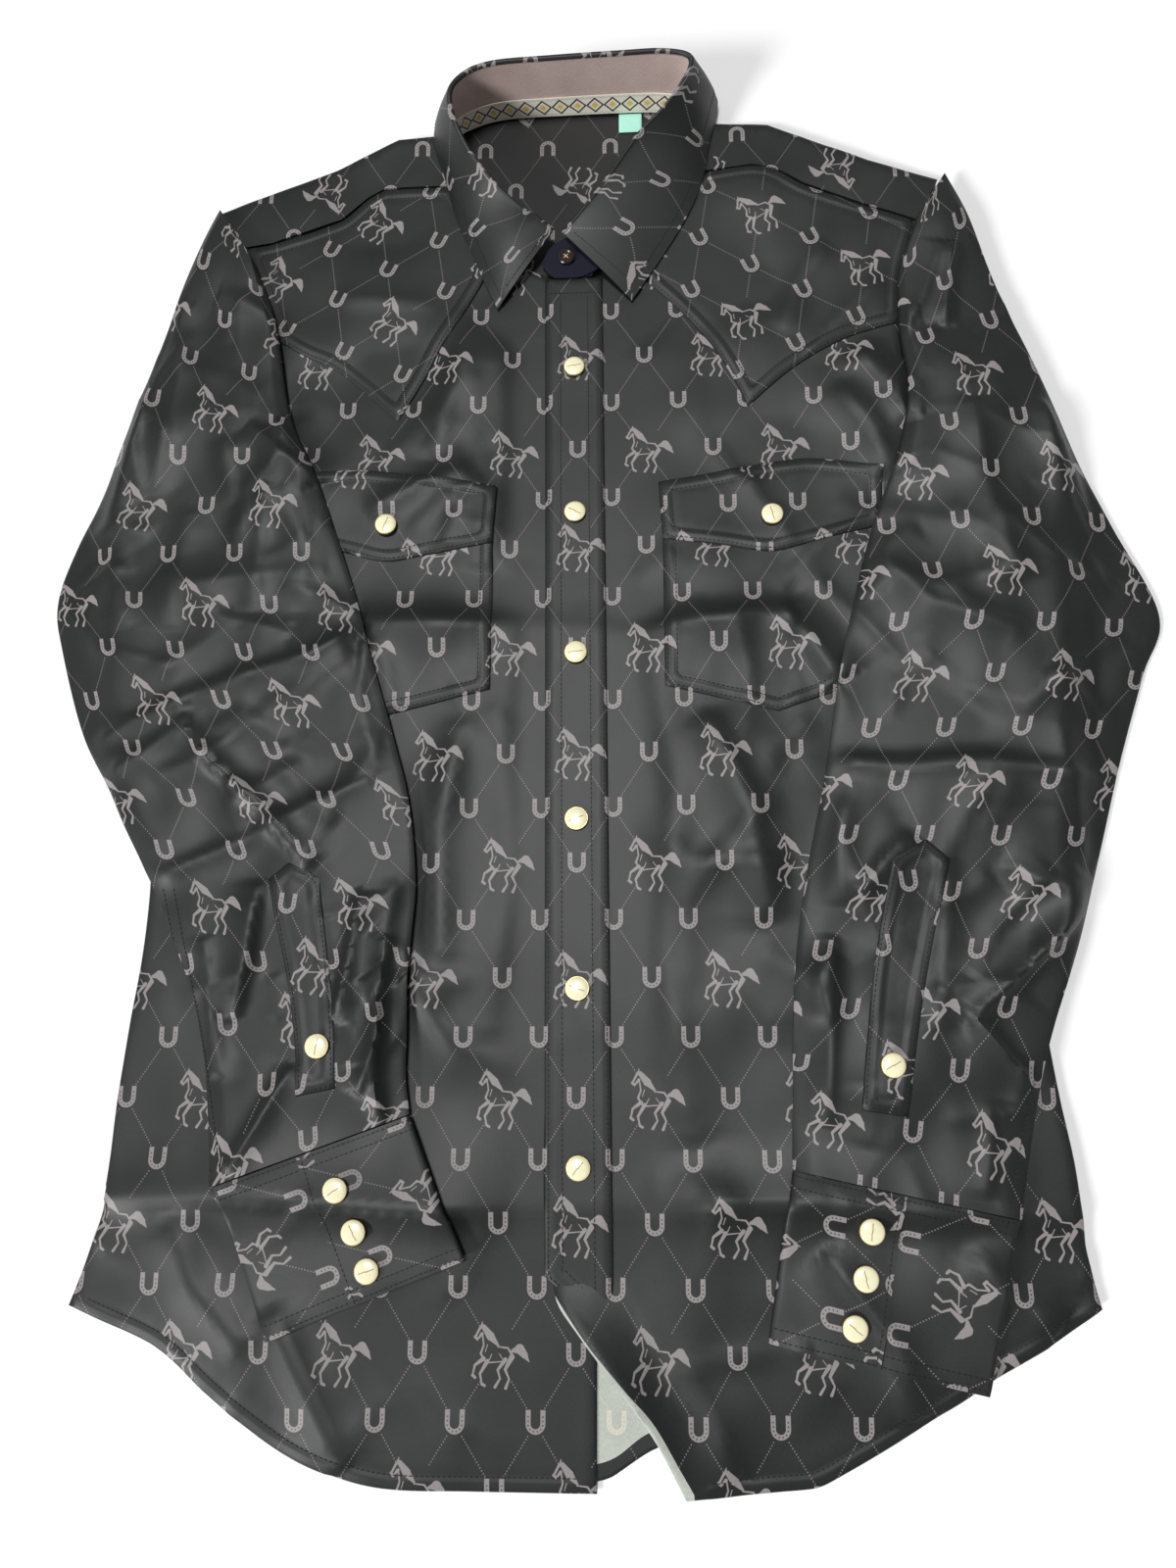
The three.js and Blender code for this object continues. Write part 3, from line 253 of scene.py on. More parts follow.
# ------------------------------------------------------------------ shader maths
class Value:
    """A node's output that Python's operators work on."""

    def __init__(self, graph, output):
        self.graph, self.output = graph, output

    def math(self, operation, *others, clamp=False):
        return self.graph.math(operation, self, *others, clamp=clamp)

    def __add__(self, other):
        return self.math("ADD", other)

    def __sub__(self, other):
        return self.math("SUBTRACT", other)

    def __mul__(self, other):
        return self.math("MULTIPLY", other)

    def __truediv__(self, other):
        return self.math("DIVIDE", other)

    def __rsub__(self, other):
        return self.graph.math("SUBTRACT", other, self)

    def __rtruediv__(self, other):
        return self.graph.math("DIVIDE", other, self)

    def __mod__(self, other):
        return self.math("FLOORED_MODULO", other)

    def __abs__(self):
        return self.math("ABSOLUTE")

    def __neg__(self):
        return self * -1.0

    __radd__ = __add__
    __rmul__ = __mul__

    def smaller(self, other):
        return self.math("MINIMUM", other)

    def larger(self, other):
        return self.math("MAXIMUM", other)

    def nearest(self):
        return self.math("ROUND")

    def clamped(self):
        """Kept from 0 to 1."""
        return self.math("ADD", 0.0, clamp=True)

    def ramp(self, low, high):
        """0 below low and 1 above high, smooth between them; low may lie above high."""
        node = self.graph.node(
            "ShaderNodeMapRange", {"interpolation_type": "SMOOTHSTEP"},
            {"Value": self, "From Min": low, "From Max": high},
        )
        return Value(self.graph, node.outputs["Result"])


class Graph:
    """One material's nodes."""

    def __init__(self, name):
        self.material = bpy.data.materials.new(name)
        self.material.use_nodes = True
        self.tree = self.material.node_tree
        self.tree.nodes.clear()

    def node(self, kind, settings=None, sockets=None):
        """A node with its settings made first, then its sockets' values or links."""
        made = self.tree.nodes.new(kind)
        for key, value in (settings or {}).items():
            setattr(made, key, value)
        for key, value in (sockets or {}).items():
            if isinstance(value, Value):
                self.tree.links.new(value.output, made.inputs[key])
            else:
                made.inputs[key].default_value = value
        return made

    def math(self, operation, *values, clamp=False):
        made = self.node(
            "ShaderNodeMath", {"operation": operation, "use_clamp": clamp}, dict(enumerate(values))
        )
        return Value(self, made.outputs[0])

    def vector(self, operation, *values, output="Vector"):
        made = self.node("ShaderNodeVectorMath", {"operation": operation}, dict(enumerate(values)))
        return Value(self, made.outputs[output])

    def mix(self, factor, first, second):
        """Between two colours."""
        made = self.node(
            "ShaderNodeMix", {"data_type": "RGBA"},
            {0: factor, 6: solid(first), 7: solid(second)},
        )
        return Value(self, made.outputs[2])

    def cloth_place(self):
        """The place on the flat cloth, in millimetres: the vector, and its x and y."""
        uv = Value(self, self.node("ShaderNodeUVMap", {"uv_map": "cloth"}).outputs[0])
        place = self.vector("MULTIPLY", uv, (1 / MM, 1 / MM, 0.0))
        parts = self.node("ShaderNodeSeparateXYZ", None, {0: place})
        return place, Value(self, parts.outputs[0]), Value(self, parts.outputs[1])

    def joined(self, x, y):
        made = self.node("ShaderNodeCombineXYZ", None, {0: x, 1: y})
        return Value(self, made.outputs[0])

    def noise(self, place, scale, detail=2.0):
        """Soft noise of about -0.5 to 0.5."""
        made = self.node(
            "ShaderNodeTexNoise", {"noise_dimensions": "3D"},
            {"Vector": place, "Scale": scale, "Detail": detail, "Roughness": 0.55},
        )
        return Value(self, made.outputs[0]) - 0.5

    def bump(self, height, strength, distance_mm):
        made = self.node(
            "ShaderNodeBump", None,
            {"Height": height, "Strength": strength, "Distance": distance_mm * MM},
        )
        return Value(self, made.outputs[0])

    def finish(self, sockets):
        """The shader itself, from constants and what varies."""
        made = self.node("ShaderNodeBsdfPrincipled", None, sockets)
        output = self.node("ShaderNodeOutputMaterial")
        self.tree.links.new(made.outputs[0], output.inputs[0])
        return self.material


def solid(value):
    """A colour with its alpha, or a link as it is."""
    return value if isinstance(value, Value) or len(value) == 4 else (*value, 1.0)


def scaled(shade, share):
    """A lighter or darker colour, no channel above 1."""
    return [min(1.0, channel * share) for channel in shade]


def stroke(graph, place, line):
    """How far a point lies outside a tapering stroke."""
    x1, y1, x2, y2, r1, r2 = line
    dx, dy = x2 - x1, y2 - y1
    square = dx * dx + dy * dy
    dot = graph.vector("DOT_PRODUCT", place, (dx / square, dy / square, 0.0), output="Value")
    share = dot.math("ADD", -(x1 * dx + y1 * dy) / square, clamp=True)
    foot = graph.vector("MULTIPLY_ADD", share, (-dx, -dy, 0.0), place)
    gap = graph.vector("DISTANCE", foot, (x1, y1, 0.0), output="Value")
    return gap - r1 - share * (r2 - r1)


def horse_mask(graph, place):
    """1 on the horse's strokes."""
    nearest = None
    for line in HORSE:
        gap = stroke(graph, place, line)
        nearest = gap if nearest is None else nearest.smaller(gap)
    return nearest.ramp(0.12, -0.12)


def shoe_mask(graph, x, y):
    """1 on the horseshoe: an upright U with a row of nail holes."""
    radius, half_band, top = 3.55, 1.2, 6.0
    side = abs(x)
    low = (-y).larger(0.0)
    around = (side * side + low * low).math("SQRT")
    off_line = abs(around - radius)
    band = off_line.larger(y - top + half_band).ramp(half_band + 0.12, half_band - 0.12)
    run = side.math("ARCTAN2", low) * radius + y.larger(0.0)
    nail = abs((run / 1.9) % 1.0 - 0.5).ramp(0.22, 0.14) * off_line.ramp(0.42, 0.3)
    nail = nail * y.ramp(top - 1.6, top - 1.9)
    return band * (1 - nail * 0.85)


def print_mask(graph):
    """1 where the print's ink is: horses and shoes where dotted lines cross."""
    cloth = bpy.context.scene.shirt_cloth
    wide, tall = cloth.repeat_across / MM, cloth.repeat_up / MM
    _, x, y = graph.cloth_place()
    s = x * (0.5 / wide) + y * (0.5 / tall)
    t = y * (0.5 / tall) - x * (0.5 / wide)
    i, j = s.nearest(), t.nearest()
    shoe_x, shoe_y = x - (i - j) * wide, y - (i + j) * tall
    even_i, even_j = (s * 0.5).nearest() * 2.0, (t * 0.5).nearest() * 2.0
    horse_x, horse_y = x - (even_i - even_j) * wide, y - (even_i + even_j) * tall
    shoe_here = (abs(i - even_i) + abs(j - even_j)).smaller(1.0)
    shoe = shoe_mask(graph, shoe_x, shoe_y) * shoe_here
    horse = horse_mask(graph, graph.joined(horse_x, horse_y))
    line_gap = 2 * wide * tall / math.hypot(wide, tall)
    pitch = 24.0
    step = math.hypot(wide, tall) / pitch
    dots = None
    for across, run in ((s, t), (t, s)):
        off = abs(across - across.nearest()) * line_gap
        beat = abs((run * pitch) % 1.0 - 0.5) * step
        dot = (off * off + beat * beat).math("SQRT").ramp(0.46, 0.22)
        dots = dot if dots is None else dots.larger(dot)
    clear_of_shoe = (shoe_x * shoe_x + shoe_y * shoe_y).ramp(36.0, 40.0)
    away_x, away_y = (horse_x - 0.5) / 11.5, horse_y / 14.5
    clear_of_horse = (away_x * away_x + away_y * away_y).ramp(0.95, 1.0)
    dots = dots * clear_of_horse * (1 - (1 - clear_of_shoe) * shoe_here)
    return (shoe.larger(horse)).larger(dots * 0.7)


def printed_cloth():
    """The shirt's cloth: a fine dark twill with its print."""
    cloth = bpy.context.scene.shirt_cloth
    graph = Graph("printed_cloth")
    place, x, y = graph.cloth_place()
    slub = graph.noise(graph.vector("MULTIPLY", place, (2.4, 0.5, 1.0)), 1.0)
    mottle = graph.noise(place, 0.035, 3.0)
    worn = graph.noise(place, 1.4)
    twist = (slub * 1.3 + mottle * 0.7 + 0.5).clamped()
    base = graph.mix(twist, scaled(cloth.ground, 0.55), scaled(cloth.ground, 1.55))
    ink = print_mask(graph) * (worn * 0.5 + 0.88)
    twill = ((x + y) * (1 / 0.55) % 1.0 - 0.5) * 0.5 + slub
    return graph.finish({
        "Base Color": graph.mix(ink, base, tuple(cloth.print_ink)),
        "Roughness": 0.46,
        "Specular IOR Level": 0.43,
        "Normal": graph.bump(twill, 0.35, 0.12),
    })


def weave(graph, dark, light, slub_share):
    """A woven ground between two shades, and the slubs that also lift its surface."""
    place = graph.cloth_place()[0]
    slub = graph.noise(graph.vector("MULTIPLY", place, (2.6, 0.6, 1.0)), 1.0)
    cloudy = graph.noise(place, 0.05, 3.0)
    share = (slub * slub_share + cloudy * 0.8 + 0.5).clamped()
    return graph.mix(share, dark, light), slub


def plain_cloth(name, shade, uneven, roughness=0.85):
    """A woven cloth of one colour."""
    graph = Graph(name)
    base, slub = weave(graph, scaled(shade, 1 - uneven), scaled(shade, 1 + uneven), 1.2)
    return graph.finish({
        "Base Color": base, "Roughness": roughness, "Specular IOR Level": 0.25,
        "Normal": graph.bump(slub, 0.3, 0.12),
    })


def reverse_cloth():
    """The pale unprinted side, with the print showing through a little."""
    graph = Graph("reverse")
    shade = bpy.context.scene.shirt_cloth.reverse
    base, slub = weave(graph, scaled(shade, 0.74), scaled(shade, 1.22), 1.4)
    return graph.finish({
        "Base Color": graph.mix(print_mask(graph) * 0.45, base, (0.84, 0.76, 0.60)),
        "Roughness": 0.85, "Specular IOR Level": 0.25, "Normal": graph.bump(slub, 0.3, 0.12),
    })


def braid_cloth():
    """Cream braid with a row of diamonds along it."""
    graph = Graph("braid")
    place, x, y = graph.cloth_place()
    pitch = 10.5
    along = abs((x / pitch) % 1.0 - 0.5) * 2.0
    off = abs(y)
    diamond = along * 4.9 + off
    outline = diamond.ramp(5.3, 5.0) * diamond.ramp(3.7, 4.0)
    centre = diamond.ramp(2.3, 2.0)
    zigzag = abs(off - 4.6 - abs((x / 3.0) % 1.0 - 0.5) * 1.6).ramp(0.5, 0.3)
    ribs = abs((x / 0.9) % 1.0 - 0.5) * 2.0 + graph.noise(place, 1.3)
    cream = graph.mix(ribs * 0.4, (0.95, 0.92, 0.80), (0.70, 0.65, 0.52))
    with_zigzag = graph.mix(zigzag * 0.22, cream, (0.10, 0.085, 0.07))
    with_outline = graph.mix(outline, with_zigzag, (0.035, 0.03, 0.03))
    return graph.finish({
        "Base Color": graph.mix(centre, with_outline, (0.80, 0.60, 0.16)), "Roughness": 0.8,
        "Specular IOR Level": 0.25, "Normal": graph.bump(ribs, 0.5, 0.25),
    })


def speckled(name, scale, dark, light, sockets):
    """A solid material whose colour varies finely between two shades."""
    graph = Graph(name)
    spot = Value(graph, graph.node("ShaderNodeTexCoord").outputs["Object"])
    return graph.finish({
        "Base Color": graph.mix(graph.noise(spot, scale) + 0.5, dark, light), **sockets,
    })


def thread_finish():
    shade = bpy.context.scene.shirt_trim.thread
    return speckled("thread", 900.0, scaled(shade, 0.7), scaled(shade, 1.5), {"Roughness": 0.6})


def pearl_finish():
    """The cream cap, a little cloudy, with one thin brown scratch across it."""
    graph = Graph("pearl")
    place, x, y = graph.cloth_place()
    cloud = graph.noise(place, 0.35, 3.0)
    shade = bpy.context.scene.shirt_trim.pearl
    scratch = abs(x + graph.noise(place, 0.3) * 1.2).ramp(0.34, 0.16) * abs(y).ramp(4.6, 3.6)
    body = graph.mix(cloud + 0.5, scaled(shade, 0.9), scaled(shade, 1.08))
    return graph.finish({
        "Base Color": graph.mix(scratch * 0.85, body, (0.20, 0.11, 0.05)), "Roughness": 0.22,
        "Specular IOR Level": 0.5, "Coat Weight": 0.3,
    })


def metal_finish():
    shade = bpy.context.scene.shirt_trim.brass
    return speckled("brass", 300.0, scaled(shade, 0.8), scaled(shade, 1.15),
                    {"Metallic": 0.9, "Roughness": 0.32})


def button_finish():
    return speckled("button", 220.0, (0.010, 0.007, 0.006), (0.028, 0.019, 0.014),
                    {"Roughness": 0.28, "Specular IOR Level": 0.5})


FINISHES = {}


def finish_of(name):
    """Each finish is made once, when it is first asked for."""
    trim = bpy.context.scene.shirt_trim
    makers = {
        "cloth": printed_cloth,
        "reverse": reverse_cloth,
        "lining": lambda: plain_cloth("lining", trim.lining, 0.30, 0.7),
        "navy": lambda: plain_cloth("navy", trim.navy, 0.2),
        "tag": lambda: plain_cloth("tag", trim.tag, 0.08),
        "tan": lambda: plain_cloth("tan_thread", (0.55, 0.38, 0.22), 0.1),
        "braid": braid_cloth, "thread": thread_finish, "pearl": pearl_finish,
        "metal": metal_finish, "button": button_finish,
    }
    if name not in FINISHES:
        FINISHES[name] = makers[name]()
    return FINISHES[name]


# ------------------------------------------------------------------ lines and heights
def distances(points, line):
    """For each point its distance to a line: positive to the left of the way the line runs."""
    best = np.full(len(points), 1e9)
    sign = np.ones(len(points))
    share = np.zeros(len(points))
    line = np.asarray(line, float)
    lengths = np.hypot(*np.diff(line, axis=0).T)
    done = 0.0
    for a, b, size in zip(line[:-1], line[1:], lengths):
        d = b - a
        t = np.clip(((points - a) @ d) / max(d @ d, 1e-9), 0, 1)
        off = points - a - t[:, None] * d
        gap = np.hypot(off[:, 0], off[:, 1])
        nearer = gap < best
        best[nearer] = gap[nearer]
        sign[nearer] = np.sign(d[0] * off[nearer, 1] - d[1] * off[nearer, 0])
        share[nearer] = (done + t[nearer] * size) / lengths.sum()
        done += size
    return best * np.where(sign == 0, 1, sign), share


def creased(points, creases):
    """Soft ridges: each falls off faster on its steep side and dies away at its ends."""
    total = np.zeros(len(points))
    for height, left, right, line in creases:
        gap, share = distances(points, line)
        width = np.where(gap > 0, left, right)
        fade = np.clip(np.minimum(share, 1 - share) * 6, 0, 1) ** 0.7
        ridge = height * np.exp(-((np.abs(gap) / width) ** 1.25))
        total += ridge * (0.35 + 0.65 * fade) * (fade > 0)
    return total


def swell(points, gain=1.0):
    total = np.zeros(len(points))
    for size, bearing, phase, height in SWELLS:
        across = points @ [math.cos(math.radians(bearing)), math.sin(math.radians(bearing))]
        total += height * np.sin(2 * math.pi * across / size + phase)
    return total * gain


def crumples(seed, count, low, high):
    """Many small creases in a box, the same at every run."""
    draw = np.random.default_rng(seed)
    made = []
    for _ in range(count):
        start = draw.uniform(low, high)
        bearing, size = draw.uniform(0, math.pi), draw.uniform(26, 80)
        ahead = size * np.array([math.cos(bearing), math.sin(bearing)])
        middle = start + ahead / 2 + draw.normal(0, 4, 2)
        widths = draw.uniform(3.5, 9, 2)
        made.append((draw.uniform(0.3, 1.2), *widths, [start, middle, start + ahead]))
    return made


BODY_CRUMPLES = crumples(11, 110, (-240, 0), (240, 640))
SLEEVE_CRUMPLES = {
    "left": crumples(23, 60, (-300, 150), (-80, 690)),
    "right": crumples(37, 60, (110, 150), (310, 690)),
}


def body_relief(points):
    """How far the fronts, and all that lies on them, stand off their level place."""
    below_collar = np.clip((640 - points[:, 1]) / 40, 0, 1)
    free = np.clip((np.abs(points[:, 0]) - 70) / 40 + below_collar, 0, 1)
    waves = 1.2 + swell(points, 2.2) + 2.7 * creased(points, BODY_CREASES)
    waves = waves + 1.5 * creased(points, BODY_CRUMPLES)
    return np.maximum(0.0, waves) * (0.12 + 0.88 * free)


def curve_through(points, count):
    """Evenly many places on a smooth line through rows of numbers."""
    rows = np.asarray(points, float)
    padded = np.vstack([2 * rows[0] - rows[1], rows, 2 * rows[-1] - rows[-2]])
    made = []
    for place in np.linspace(0, len(rows) - 1, count):
        k = min(int(place), len(rows) - 2)
        made.append(bent(padded[k:k + 4], place - k))
    return np.array(made)


def bent(four, t):
    """A point between the middle two of four, on the smooth line through them."""
    a, b, c, d = four
    square, cube = 2 * a - 5 * b + 4 * c - d, 3 * b - a - 3 * c + d
    return 0.5 * (2 * b + (c - a) * t + square * t**2 + cube * t**3)


def smooth_rim(loop, spacing=3.5, sharp=30):
    """A closed outline with its gentle bends rounded, its corners kept and even steps."""
    n = len(loop)
    steps = np.roll(loop, -1, 0) - loop
    turn = np.degrees(np.arctan2(steps[:, 1], steps[:, 0]))
    change = np.abs((turn - np.roll(turn, 1) + 180) % 360 - 180)
    made = []
    for k in range(n):
        b, c = loop[k], loop[(k + 1) % n]
        a = loop[k - 1] if change[k] < sharp else 2 * b - c
        d = loop[(k + 2) % n] if change[(k + 1) % n] < sharp else 2 * c - b
        size = np.hypot(*(c - b))
        a = b + (a - b) * min(1, size / max(np.hypot(*(a - b)), 1e-6))
        d = c + (d - c) * min(1, size / max(np.hypot(*(d - c)), 1e-6))
        count = max(1, int(round(size / spacing)))
        made += [bent((a, b, c, d), t / count) for t in range(count)]
    return np.array(made)


def inside(points, loop):
    """Which points lie inside a closed outline."""
    odd = np.zeros(len(points), bool)
    x, y = points.T
    for (x1, y1), (x2, y2) in zip(loop, np.roll(loop, -1, 0)):
        spans = (y1 > y) != (y2 > y)
        if abs(y2 - y1) > 1e-12:
            odd ^= spans & (x < (x2 - x1) * (y - y1) / (y2 - y1) + x1)
    return odd


def cad_faces(node, decimals):
    """A CAD piece's corners, each once, and its faces: their corners and their normal's z."""
    mesh = NODES[node].data
    corners = np.array([v.co for v in mesh.vertices]) / MM
    corners[:, :2] += CENTRE_FRONT
    keys = {}
    merged = [keys.setdefault(tuple(np.round(p, decimals)), len(keys)) for p in corners]
    faces = [([merged[v] for v in p.vertices], p.normal.z) for p in mesh.polygons]
    return np.array(list(keys)), faces


def cad_rim(node):
    """The outline of a CAD piece's upper face, in order and turning left, as x, y."""
    places, faces = cad_faces(node, 2)
    follow = {}
    for ring, upward in faces:
        if upward < FACING_UP:
            continue
        for a, b in zip(ring, ring[1:] + ring[:1]):
            if follow.get(b) and a in follow[b]:
                follow[b].remove(a)
            else:
                follow.setdefault(a, []).append(b)
    follow = {a: list(bs) for a, bs in follow.items() if bs}
    start = next(iter(follow))
    loop, here = [start], follow[start].pop()
    while here != start:
        loop.append(here)
        here = follow[here].pop()
    rim = places[loop][:, :2]
    ahead, behind = np.roll(rim, -1, 0) - rim, rim - np.roll(rim, 1, 0)
    bend = np.abs(ahead[:, 0] * behind[:, 1] - ahead[:, 1] * behind[:, 0])
    straight = bend < 0.002 * np.hypot(*ahead.T) * np.hypot(*behind.T)
    return rim[~straight]


# ------------------------------------------------------------------ meshes
def add_mesh(name, points, faces, cloth=None, finishes=("cloth",), which=None, sharp=55):
    """A mesh object from points in the shirt's own millimetres, riding on the body."""
    mesh = bpy.data.meshes.new(name)
    placed = np.array(points, float)
    placed[:, :2] -= CENTRE_FRONT
    mesh.from_pydata((placed * MM).tolist(), [], faces)
    for finish in finishes:
        mesh.materials.append(finish_of(finish))
    if which is not None:
        mesh.polygons.foreach_set("material_index", np.asarray(which, np.int32))
    layer = mesh.uv_layers.new(name="cloth")
    corner = np.empty(len(mesh.loops), np.int32)
    mesh.loops.foreach_get("vertex_index", corner)
    where = placed[:, :2] if cloth is None else np.asarray(cloth, float)
    layer.data.foreach_set("uv", (where[corner] * MM).astype(np.float32).ravel())
    mesh.shade_smooth()
    mesh.set_sharp_from_angle(angle=math.radians(sharp))
    mesh.validate()
    made = bpy.data.objects.new(name, mesh)
    bpy.context.scene.collection.objects.link(made)
    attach(made, "root")
    return made


def turned(points, degrees, about=(0, 0)):
    """Places on the cloth for a piece whose grain is turned."""
    c, s = math.cos(math.radians(degrees)), math.sin(math.radians(degrees))
    return (points - np.asarray(about)) @ np.array([[c, -s], [s, c]]).T


def flat_points(rim, spacing=5.0, rings=(0.7, 1.8, 3.4, 5.2, 6.6, 8.2)):
    """A rim, rings that follow it inside, and an even fill."""
    ahead = np.roll(rim, -1, 0) - np.roll(rim, 1, 0)
    ahead /= np.hypot(*ahead.T)[:, None] + 1e-9
    inward = np.column_stack([-ahead[:, 1], ahead[:, 0]])
    closed = np.vstack([rim, rim[:1]])
    extra = []
    for offset in rings:
        ring = rim + inward * offset
        gap = np.abs(distances(ring, closed)[0])
        extra.append(ring[(gap > 0.93 * offset) & inside(ring, rim)])
    low, high = rim.min(0), rim.max(0)
    rows = np.arange(low[1], high[1], spacing * 0.87)
    columns = np.arange(low[0], high[0], spacing)
    grid = np.array([
        (x + (k % 2) * spacing / 2, y) for k, y in enumerate(rows) for x in columns
    ])
    grid = grid[inside(grid, rim)]
    gap = np.abs(distances(grid, closed)[0])
    extra.append(grid[gap > rings[-1] + 0.6 * spacing])
    return np.vstack([rim] + [part for part in extra if len(part)])


def edge_profile(gap, plies, seamed, second_row):
    """How much an edge rises or falls where it is folded under, let down and drawn in by thread."""
    rounded = -0.35 * np.clip(1 - gap / 0.8, 0, 1) ** 2
    settle = -0.75 * np.clip(1 - gap / 5.0, 0, 1) ** 2 * (plies > 1)
    folded = 0.22 * np.clip((second_row - 0.2 - gap) / 1.2, 0, 1)
    drawn = -0.22 * np.exp(-(((gap - FIRST_ROW) / 0.8) ** 2))
    drawn = drawn - 0.2 * np.exp(-(((gap - second_row) / 0.9) ** 2))
    return rounded + settle + (folded + drawn) * seamed * (plies > 1)


def panel(name, node, height, grain=0.0, plies=2, faces_up="cloth", faces_down="reverse",
          thickness=None, spacing=5.0, choose=None, shift=(0, 0), seam=None, seamed=None,
          second_row=SEAM_GROOVE):
    """A cut piece of cloth: its CAD outline filled with small triangles and given a thickness."""
    thickness = thickness or bpy.context.scene.shirt_cloth.thickness / MM
    rim = smooth_rim(cad_rim(node))
    points = flat_points(rim, spacing)
    n = len(rim)
    edges = [(k, (k + 1) % n) for k in range(n)]
    if seam is not None:
        points = points[(np.arange(len(points)) < n) | (np.abs(distances(points, seam)[0]) > 0.5)]
        edges += [(len(points) + k, len(points) + k + 1) for k in range(len(seam) - 1)]
        points = np.vstack([points, seam])
    made = geometry.delaunay_2d_cdt([Vector(p) for p in points], edges, [], 1, 1e-5)
    flat = np.array([tuple(p) for p in made[0]])
    triangles = []
    for a, b, c in made[2]:
        (x1, y1), (x2, y2) = flat[b] - flat[a], flat[c] - flat[a]
        area = x1 * y2 - x2 * y1
        if abs(area) > 1e-9:
            triangles.append((a, b, c) if area > 0 else (a, c, b))
    gap = np.abs(distances(flat, np.vstack([rim, rim[:1]]))[0])
    sewn = 1.0 if seamed is None else seamed(flat)
    top = height(flat) + edge_profile(gap, plies, sewn, second_row)
    count = len(flat)
    points = np.vstack([np.column_stack([flat, top]), np.column_stack([flat, top - thickness])])
    ways = {(a, b) for t in triangles for a, b in ((t[0], t[1]), (t[1], t[2]), (t[2], t[0]))}
    border = [(a, b) for a, b in ways if (b, a) not in ways]
    faces = triangles + [(count + a, count + c, count + b) for a, b, c in triangles]
    faces += [(a, count + a, count + b, b) for a, b in sorted(border)]
    which = np.zeros(len(faces), int)
    which[len(triangles):2 * len(triangles)] = 1
    if choose is not None:
        middles = np.array([flat[list(t)].mean(0) for t in triangles])
        which[:len(triangles)] = choose(middles)
    cloth = turned(flat, grain) + np.asarray(shift)
    made = add_mesh(name, points, faces, np.vstack([cloth, cloth]), (faces_up, faces_down), which)
    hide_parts(node)
    return made


def grid_faces(rows, columns, start=0, closed=False):
    """Triangles of a grid of points, row by row."""
    faces = []
    across = columns if closed else columns - 1
    for i in range(rows - 1):
        for j in range(across):
            k = (j + 1) % columns
            a, b = start + i * columns + j, start + i * columns + k
            c, d = b + columns, a + columns
            faces += [(a, b, c), (a, c, d)]
    return faces


def walled_grid(name, upper, lower, cloth, finish, node):
    """A sheet with thickness from two grids of points of the same shape."""
    rows, columns = upper.shape[:2]
    count = rows * columns
    points = np.vstack([upper.reshape(-1, 3), lower.reshape(-1, 3)])
    faces = grid_faces(rows, columns)
    faces += [tuple(reversed([v + count for v in face])) for face in grid_faces(rows, columns)]
    border = [(0, j) for j in range(columns)] + [(i, columns - 1) for i in range(1, rows)]
    border += [(rows - 1, j) for j in range(columns - 2, -1, -1)]
    border += [(i, 0) for i in range(rows - 2, 0, -1)]
    ring = [i * columns + j for i, j in border]
    faces += [(a, count + a, count + b, b) for a, b in zip(ring, ring[1:] + ring[:1])]
    flat = cloth.reshape(-1, 2)
    made = add_mesh(name, points, faces, np.vstack([flat, flat]), (finish,))
    if volume_of(made) < 0:
        made.data.flip_normals()
    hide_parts(node)
    return made


def volume_of(made):
    """Six times the volume inside a mesh; below 0 where its faces look inwards."""
    total = 0.0
    made.data.calc_loop_triangles()
    co = [v.co for v in made.data.vertices]
    for t in made.data.loop_triangles:
        a, b, c = (co[v] for v in t.vertices)
        total += a.dot(b.cross(c))
    return total


def close_layout(made, widest):
    """Along a tube's seam the strip of faces keeps to one side of the layout."""
    layer = made.data.uv_layers["cloth"].data
    uv = np.empty(2 * len(layer), np.float32)
    layer.foreach_get("uv", uv)
    uv = uv.reshape(-1, 2)
    for polygon in made.data.polygons:
        across = uv[polygon.loop_start:polygon.loop_start + polygon.loop_total, 0]
        if np.ptp(across) > widest:
            far = np.abs(across) > (np.abs(across).max() + np.abs(across).min()) / 2
            across[far] = across[~far].mean()
    layer.foreach_set("uv", uv.ravel())


def declare(made):
    """Reads the flat layout of each of a piece's faces; nothing is kept or changed."""
    uv = np.empty(2 * len(made.data.loops), np.float32)
    made.data.uv_layers["cloth"].data.foreach_get("uv", uv)
    uv = uv.reshape(-1, 2)
    for polygon in made.data.polygons:
        ring = uv[polygon.loop_start:polygon.loop_start + polygon.loop_total]
        after = np.roll(ring, -1, 0)


SURFACES = {}


def surface(*names):
    """A function that gives the height of the highest of some pieces at points."""
    trees = []
    for name in names:
        if name not in SURFACES:
            mesh = bpy.data.objects[name].data
            SURFACES[name] = BVHTree.FromPolygons(
                [v.co for v in mesh.vertices], [p.vertices for p in mesh.polygons]
            )
        trees.append(SURFACES[name])

    def height(points):
        made = []
        for x, y in (np.asarray(points, float) - CENTRE_FRONT) * MM:
            hits = [tree.ray_cast(Vector((x, y, 0.3)), Vector((0, 0, -1)))[0] for tree in trees]
            found = [hit.z for hit in hits if hit is not None]
            made.append(max(found) / MM if found else np.nan)
        return np.array(made)

    return height


# ------------------------------------------------------------------ the body
def level(node):
    """The height of a flat CAD piece's upper face."""
    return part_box(node)[1].z / MM


def over_body(node):
    """Heights for a piece that lies flat on the front."""
    top = level(node)
    return lambda points: top + body_relief(points)


def line_normals(line):
    """Unit normals to the left of a flat line."""
    ahead = np.gradient(line, axis=0)
    ahead /= np.hypot(*ahead.T)[:, None] + 1e-9
    return np.column_stack([-ahead[:, 1], ahead[:, 0]])


